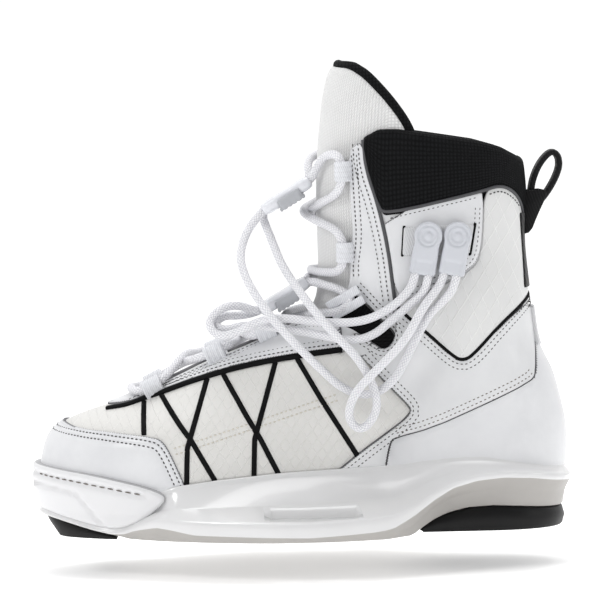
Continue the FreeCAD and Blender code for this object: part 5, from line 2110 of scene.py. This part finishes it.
    def hooks(self, shop: Workshop) -> None:
        """Two flat straps on each side that hold the lace at the ankle bend."""
        for word, side in (("lateral", -1), ("medial", 1)):
            for i, shift in enumerate((-3.2, 3.4)):
                line = np.array([(13.0, 33.5, 129.5), (17.0, 38.5, 132.0), (22.5, 43.0, 135.0),
                                 (27.0, 46.3, 138.0), (30.5, 45.6, 140.0)])
                line = resample(line, 1.0) + (-0.45 * shift, 0, 0.9 * shift)
                line[:, 1] *= side
                up = np.tile((0.2, side * 0.95, 0.0), (len(line), 1))
                shop.tube(f"lace_hook_{i}_{word}", line, 2.7, "loop_webbing",
                          nodes=("lace_hooks",) if i == 0 and side < 0 else (), slot="lace_loop",
                          sides=24, flat=0.34, up=up)

    def lock(self, shop: Workshop, name: str) -> bpy.types.Object:
        """Lock housing with two lace passages, and its sliding grip."""
        frame = framed(turned("Y", -self.lock_lean), self.locks[name])
        c, s = circle(48)
        rings = []
        for x, wide, high in ((-16.4, 7.8, 2.6), (-15.8, 8.9, 3.4), (-13.5, 9.7, 3.9),
                              (-8, 9.9, 4.0), (-7.4, 9.9, 4.0), (0, 9.4, 3.7), (8.4, 9.4, 3.7),
                              (9, 9.9, 4.0), (13.5, 9.7, 3.9), (15.8, 8.9, 3.4), (16.4, 7.8, 2.6)):
            rings.append(put(np.column_stack([np.full(48, x), wide * np.sign(c) * np.abs(c) ** 0.45,
                                              high * np.sign(s) * np.abs(s) ** 0.6]), frame))
        housing = shop.loft(f"{name}_lock_housing", rings, "lock_plastic",
                            nodes=(f"{name}_lock_housing",), slot="lock_plastic")
        mouths = ((-18, 3.9), (-13.4, 2.75), (13.4, 2.75), (18, 3.9))
        shop.cut(housing, [self.bore(shop, f"{name}_bore_{y}", frame, y, mouths, 24, "lock_plastic")
                           for y in (-self.strand_gap, self.strand_gap)])
        outline = np.array([(-7.5, -9.5), (-5.5, -11.8), (7.0, -11.8), (9.3, -9.5), (9.3, 9.5),
                            (7.0, 11.8), (-5.5, 11.8), (-7.5, 9.5)])
        Slab(f"{name}_lock_grip", outline, "grip_plastic",
             lambda x, y: -6.5 + 0.5 * np.clip(np.sin(x * 2.0) * 1.6, 0, 1),
             lambda x, y: -4.3 + 4.6 * (np.abs(y) > 10.2), 0.5, 0.9, frame,
             f"{name}_lock_grip", (f"{name}_lock_grip",), "grip_plastic").make(shop)
        return housing

    def handle(self, shop: Workshop, name: str) -> bpy.types.Object:
        """Pull handle with a round head and a raised ring."""
        axis = math.radians(self.handle_lean)
        rotation = np.column_stack([(math.sin(axis), 0, math.cos(axis)),
                                    (-math.cos(axis), 0, math.sin(axis)), (0, -1, 0)])
        frame = framed(rotation, self.handles[name])
        head = np.array([(7.75 + 8.25 * math.cos(a), 8.25 * math.sin(a))
                         for a in np.linspace(-2.0, 2.0, 25)])
        outline = np.vstack([head, [(1.5, 7.3), (-4.0, 7.6), (-13.8, 7.7), (-15.4, 6.6),
                                    (-15.4, -6.6), (-13.8, -7.7), (-4.0, -7.6), (1.5, -7.3)]])

        def face(x: np.ndarray, y: np.ndarray) -> np.ndarray:
            """Outer face: a shallow dish in the head with a ring and a small dot."""
            far = np.hypot(x - 7.75, y)
            dish = -0.8 * np.clip((6.6 - far) / 0.5, 0, 1)
            ring = 0.75 * np.exp(-((far - 4.6) / 0.6) ** 2)
            dot = 0.7 * np.clip((2.2 - far) / 0.5, 0, 1)
            tail = -0.5 * (np.abs(y) < 5.2) * np.clip((-6.5 - x) / 1.0, 0, 1)
            return 3.5 + dish + ring + dot + tail

        obj = Slab(f"{name}_pull_handle", outline, "handle_plastic", lambda x, y: -3.5 + 0 * x, face,
                   1.1, 0.75, frame, f"{name}_pull_handle", (f"{name}_pull_handle",),
                   "handle_plastic").make(shop)
        blind = ((-18.0, 2.85), (-3.0, 2.85))
        shop.cut(obj, [self.bore(shop, f"{name}_end_bore_{y}", frame, y, blind, 20, "handle_plastic")
                       for y in (-self.end_gap, self.end_gap)])
        return obj

    @staticmethod
    def bore(shop: Workshop, name: str, frame: np.ndarray, y: float,
             rows: tuple[tuple[float, float], ...], sides: int, finish: str) -> bpy.types.Object:
        """Cutter for a round lace passage.

        Args:
            shop: the mesh maker.
            name: name while it exists.
            frame: 4 by 4 placing matrix; the passage runs along its x axis.
            y: distance from the frame's middle.
            rows: place along the passage and radius there.
            sides: points round it.
            finish: finish of the cut faces.

        Returns:
            The closed cutter.
        """
        c, s = circle(sides)
        rings = [put(np.column_stack([np.full(sides, x), y + r * c, r * s]), frame) for x, r in rows]
        return shop.loft(name, rings, finish)


@dataclass
class PullLoop:
    """Webbing loop behind the collar, and the keeper band behind the handles."""

    line: Outline = field(default_factory=lambda: [
        (132.6, 189), (132.3, 196), (133.8, 204), (138.2, 213.2), (144.6, 219.6), (148.6, 217.2),
        (149.6, 211), (147, 203.8), (142.7, 196.4), (137.2, 189.5)])
    half_width: float = 8.6
    thick: float = 3.4
    tab: Outline = field(default_factory=lambda: [
        (126, 171), (131.5, 172), (135.6, 182), (141, 193), (141.4, 197.4), (126, 196.6)])
    band: Outline = field(default_factory=lambda: [
        (55.8, 178.2), (96.4, 178.9), (93.4, 161.6), (54.6, 161.6)])

    def make(self, shop: Workshop, form: BootForm) -> None:
        """Build the loop, its tabs and the keeper band."""
        self.loop(shop)
        self.tabs(shop)
        self.keeper(shop, form)

    def loop(self, shop: Workshop) -> None:
        """Closed ring of webbing."""
        ring = resample(np.array(soften(self.line, 2)), 1.2, closed=True)
        tangent = headings(ring, closed=True)
        outward = np.column_stack([-tangent[:, 1], tangent[:, 0]])
        ys = np.linspace(-self.half_width, self.half_width, 25)
        half = self.thick / 2 * (0.4 + 0.6 * np.clip((self.half_width - np.abs(ys)) / 1.0, 0, 1) ** 0.5)
        half = half + 0.12 * np.cos(ys * 2 * math.pi / 2.1)
        rings = []
        for p, out in zip(ring, outward):
            near = [(p[0] + out[0] * h, y, p[1] + out[1] * h) for y, h in zip(ys, half)]
            far = [(p[0] - out[0] * h, y, p[1] - out[1] * h) for y, h in zip(ys[::-1], half[::-1])]
            rings.append(np.array(near + far))
        count = len(rings[0])
        faces = shop.grid_faces(len(rings), count, closed=True)
        last = (len(rings) - 1) * count
        faces += [(last + c, last + (c + 1) % count, (c + 1) % count, c) for c in range(count)]
        shop.piece("pull_loop", np.vstack(rings), faces, "black_webbing", "pull_loop", ("pull_loop",),
                   "black_webbing")

    def tabs(self, shop: Workshop) -> None:
        """Two folded side tabs that the loop is sewn between."""
        ring = resample(np.array(soften(self.tab, 1)), 1.5, closed=True)
        middle = ring.mean(axis=0)
        for side in (Side.LATERAL, Side.MEDIAL):
            rings = []
            for inset, out in ((0.06, 9.0), (0.0, 9.3), (0.0, 10.1), (0.06, 10.4)):
                place = ring + (middle - ring) * inset
                rings.append(np.column_stack([place[:, 0], np.full(len(ring), side.value * out),
                                              place[:, 1]]))
            shop.loft(f"pull_tab_{side.name.lower()}", rings, "black_webbing", slot="black_webbing")

    def keeper(self, shop: Workshop, form: BootForm) -> None:
        """Flat band across the patch behind the handles, dipping into two slots."""
        Sheet("handle_dock", self.band, "grey_webbing", (Side.LATERAL,), thick=1.3, lift=1.2,
              rounds=0, nodes=("handle_dock",), slot="black_webbing").make(shop, form)
        for i, line in enumerate(([(56.2, 179), (54.8, 160.8)], [(97, 179.6), (93.6, 160.8)])):
            Sheet(f"slot_border_{i}", ribbon(line, 1.7), "black_strip", (Side.LATERAL,), thick=0.9,
                  lift=1.3, rounds=0, edge=0.5, spacing=1.6).make(shop, form)


# ---------------------------------------------------------------- studio
@dataclass
class Studio:
    """Camera, floor and soft lights."""

    target: Triple = (-4.9, -40.0, 137.0)
    distance: float = 2.3
    span: float = 0.348
    elevation: float = 3.2
    roll: float = 1.3
    floor: float = -0.023

    def make(self) -> None:
        """Set up the whole studio."""
        self.camera()
        self.ground()
        self.lights()

    def camera(self) -> None:
        """Long lens from the outer side, a little above the boot."""
        data = bpy.data.cameras.new("camera")
        data.sensor_width = 36.0
        data.lens = 36.0 * self.distance / self.span
        obj = bpy.data.objects.new("camera", data)
        bpy.context.scene.collection.objects.link(obj)
        rise = math.radians(self.elevation)
        back = Vector((0, -math.cos(rise), math.sin(rise)))
        obj.rotation_mode = "QUATERNION"
        obj.location = Vector(self.target) * MM + back * self.distance
        turn = Matrix.Rotation(math.radians(-self.roll), 3, "Z").to_quaternion()
        obj.rotation_quaternion = (-back).to_track_quat("-Z", "Y") @ turn
        data.clip_start, data.clip_end = 0.05, 30.0
        bpy.context.scene.camera = obj

    def ground(self) -> None:
        """Pale floor far larger than the view."""
        mesh = bpy.data.meshes.new("floor")
        size = 150.0
        mesh.from_pydata([(-size, -size, self.floor), (size, -size, self.floor),
                          (size, size, self.floor), (-size, size, self.floor)], [], [(0, 1, 2, 3)])
        floor = bpy.data.objects.new("floor", mesh)
        bpy.context.scene.collection.objects.link(floor)
        n = Nodes("studio_floor")
        n.shader.inputs["Base Color"].default_value = (0.93, 0.93, 0.93, 1)
        n.shader.inputs["Roughness"].default_value = 0.9
        n.shader.inputs["Emission Color"].default_value = (1, 1, 1, 1)
        n.shader.inputs["Emission Strength"].default_value = 0.36
        mesh.materials.append(n.material)
        floor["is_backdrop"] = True

    def lights(self) -> None:
        """Large soft boxes above, in front and behind, and a pale surround."""
        world = bpy.data.worlds.new("studio")
        bpy.context.scene.world = world
        world.use_nodes = True
        nodes, links = world.node_tree.nodes, world.node_tree.links
        split = nodes.new("ShaderNodeSeparateXYZ")
        links.new(nodes.new("ShaderNodeTexCoord").outputs["Generated"], split.inputs[0])
        ramp = nodes.new("ShaderNodeMapRange")
        ramp.inputs["From Min"].default_value = -0.6
        ramp.inputs["From Max"].default_value = 0.4
        ramp.inputs["To Min"].default_value = 0.42
        ramp.inputs["To Max"].default_value = 1.04
        links.new(split.outputs[1], ramp.inputs["Value"])
        links.new(ramp.outputs[0], nodes["Background"].inputs[1])
        nodes["Background"].inputs[0].default_value = (1, 1, 1, 1)
        bpy.context.scene.view_settings.view_transform = "Standard"
        rows = [("key", (-1.2, -1.1, 1.3), 0.6, 10.0), ("top", (0.1, 0.2, 1.7), 1.2, 13.0),
                ("side", (1.4, -0.6, 0.5), 0.4, 2.0)]
        for name, place, size, power in rows:
            data = bpy.data.lights.new(name, "AREA")
            data.energy, data.size = power, size
            obj = bpy.data.objects.new(name, data)
            bpy.context.scene.collection.objects.link(obj)
            obj.location = place
            way = Vector((0, 0, 0.12)) - obj.location
            obj.rotation_mode = "QUATERNION"
            obj.rotation_quaternion = way.to_track_quat("-Z", "Y")


def main() -> None:
    """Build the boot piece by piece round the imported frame."""
    logging.basicConfig(level=logging.INFO, format="%(message)s")
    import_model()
    shop, form = Workshop(Wardrobe()), BootForm()
    for part in (Upper(), ToeBumper(), Collar(), Tongue(), SoleUnit(), Lacing(), PullLoop()):
        part.make(shop, form)
        logging.info("%s built", type(part).__name__)
    Studio().make()
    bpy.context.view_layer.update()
    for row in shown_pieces():
        logging.info("%s", row.name)


if __name__ == "__main__":
    main()
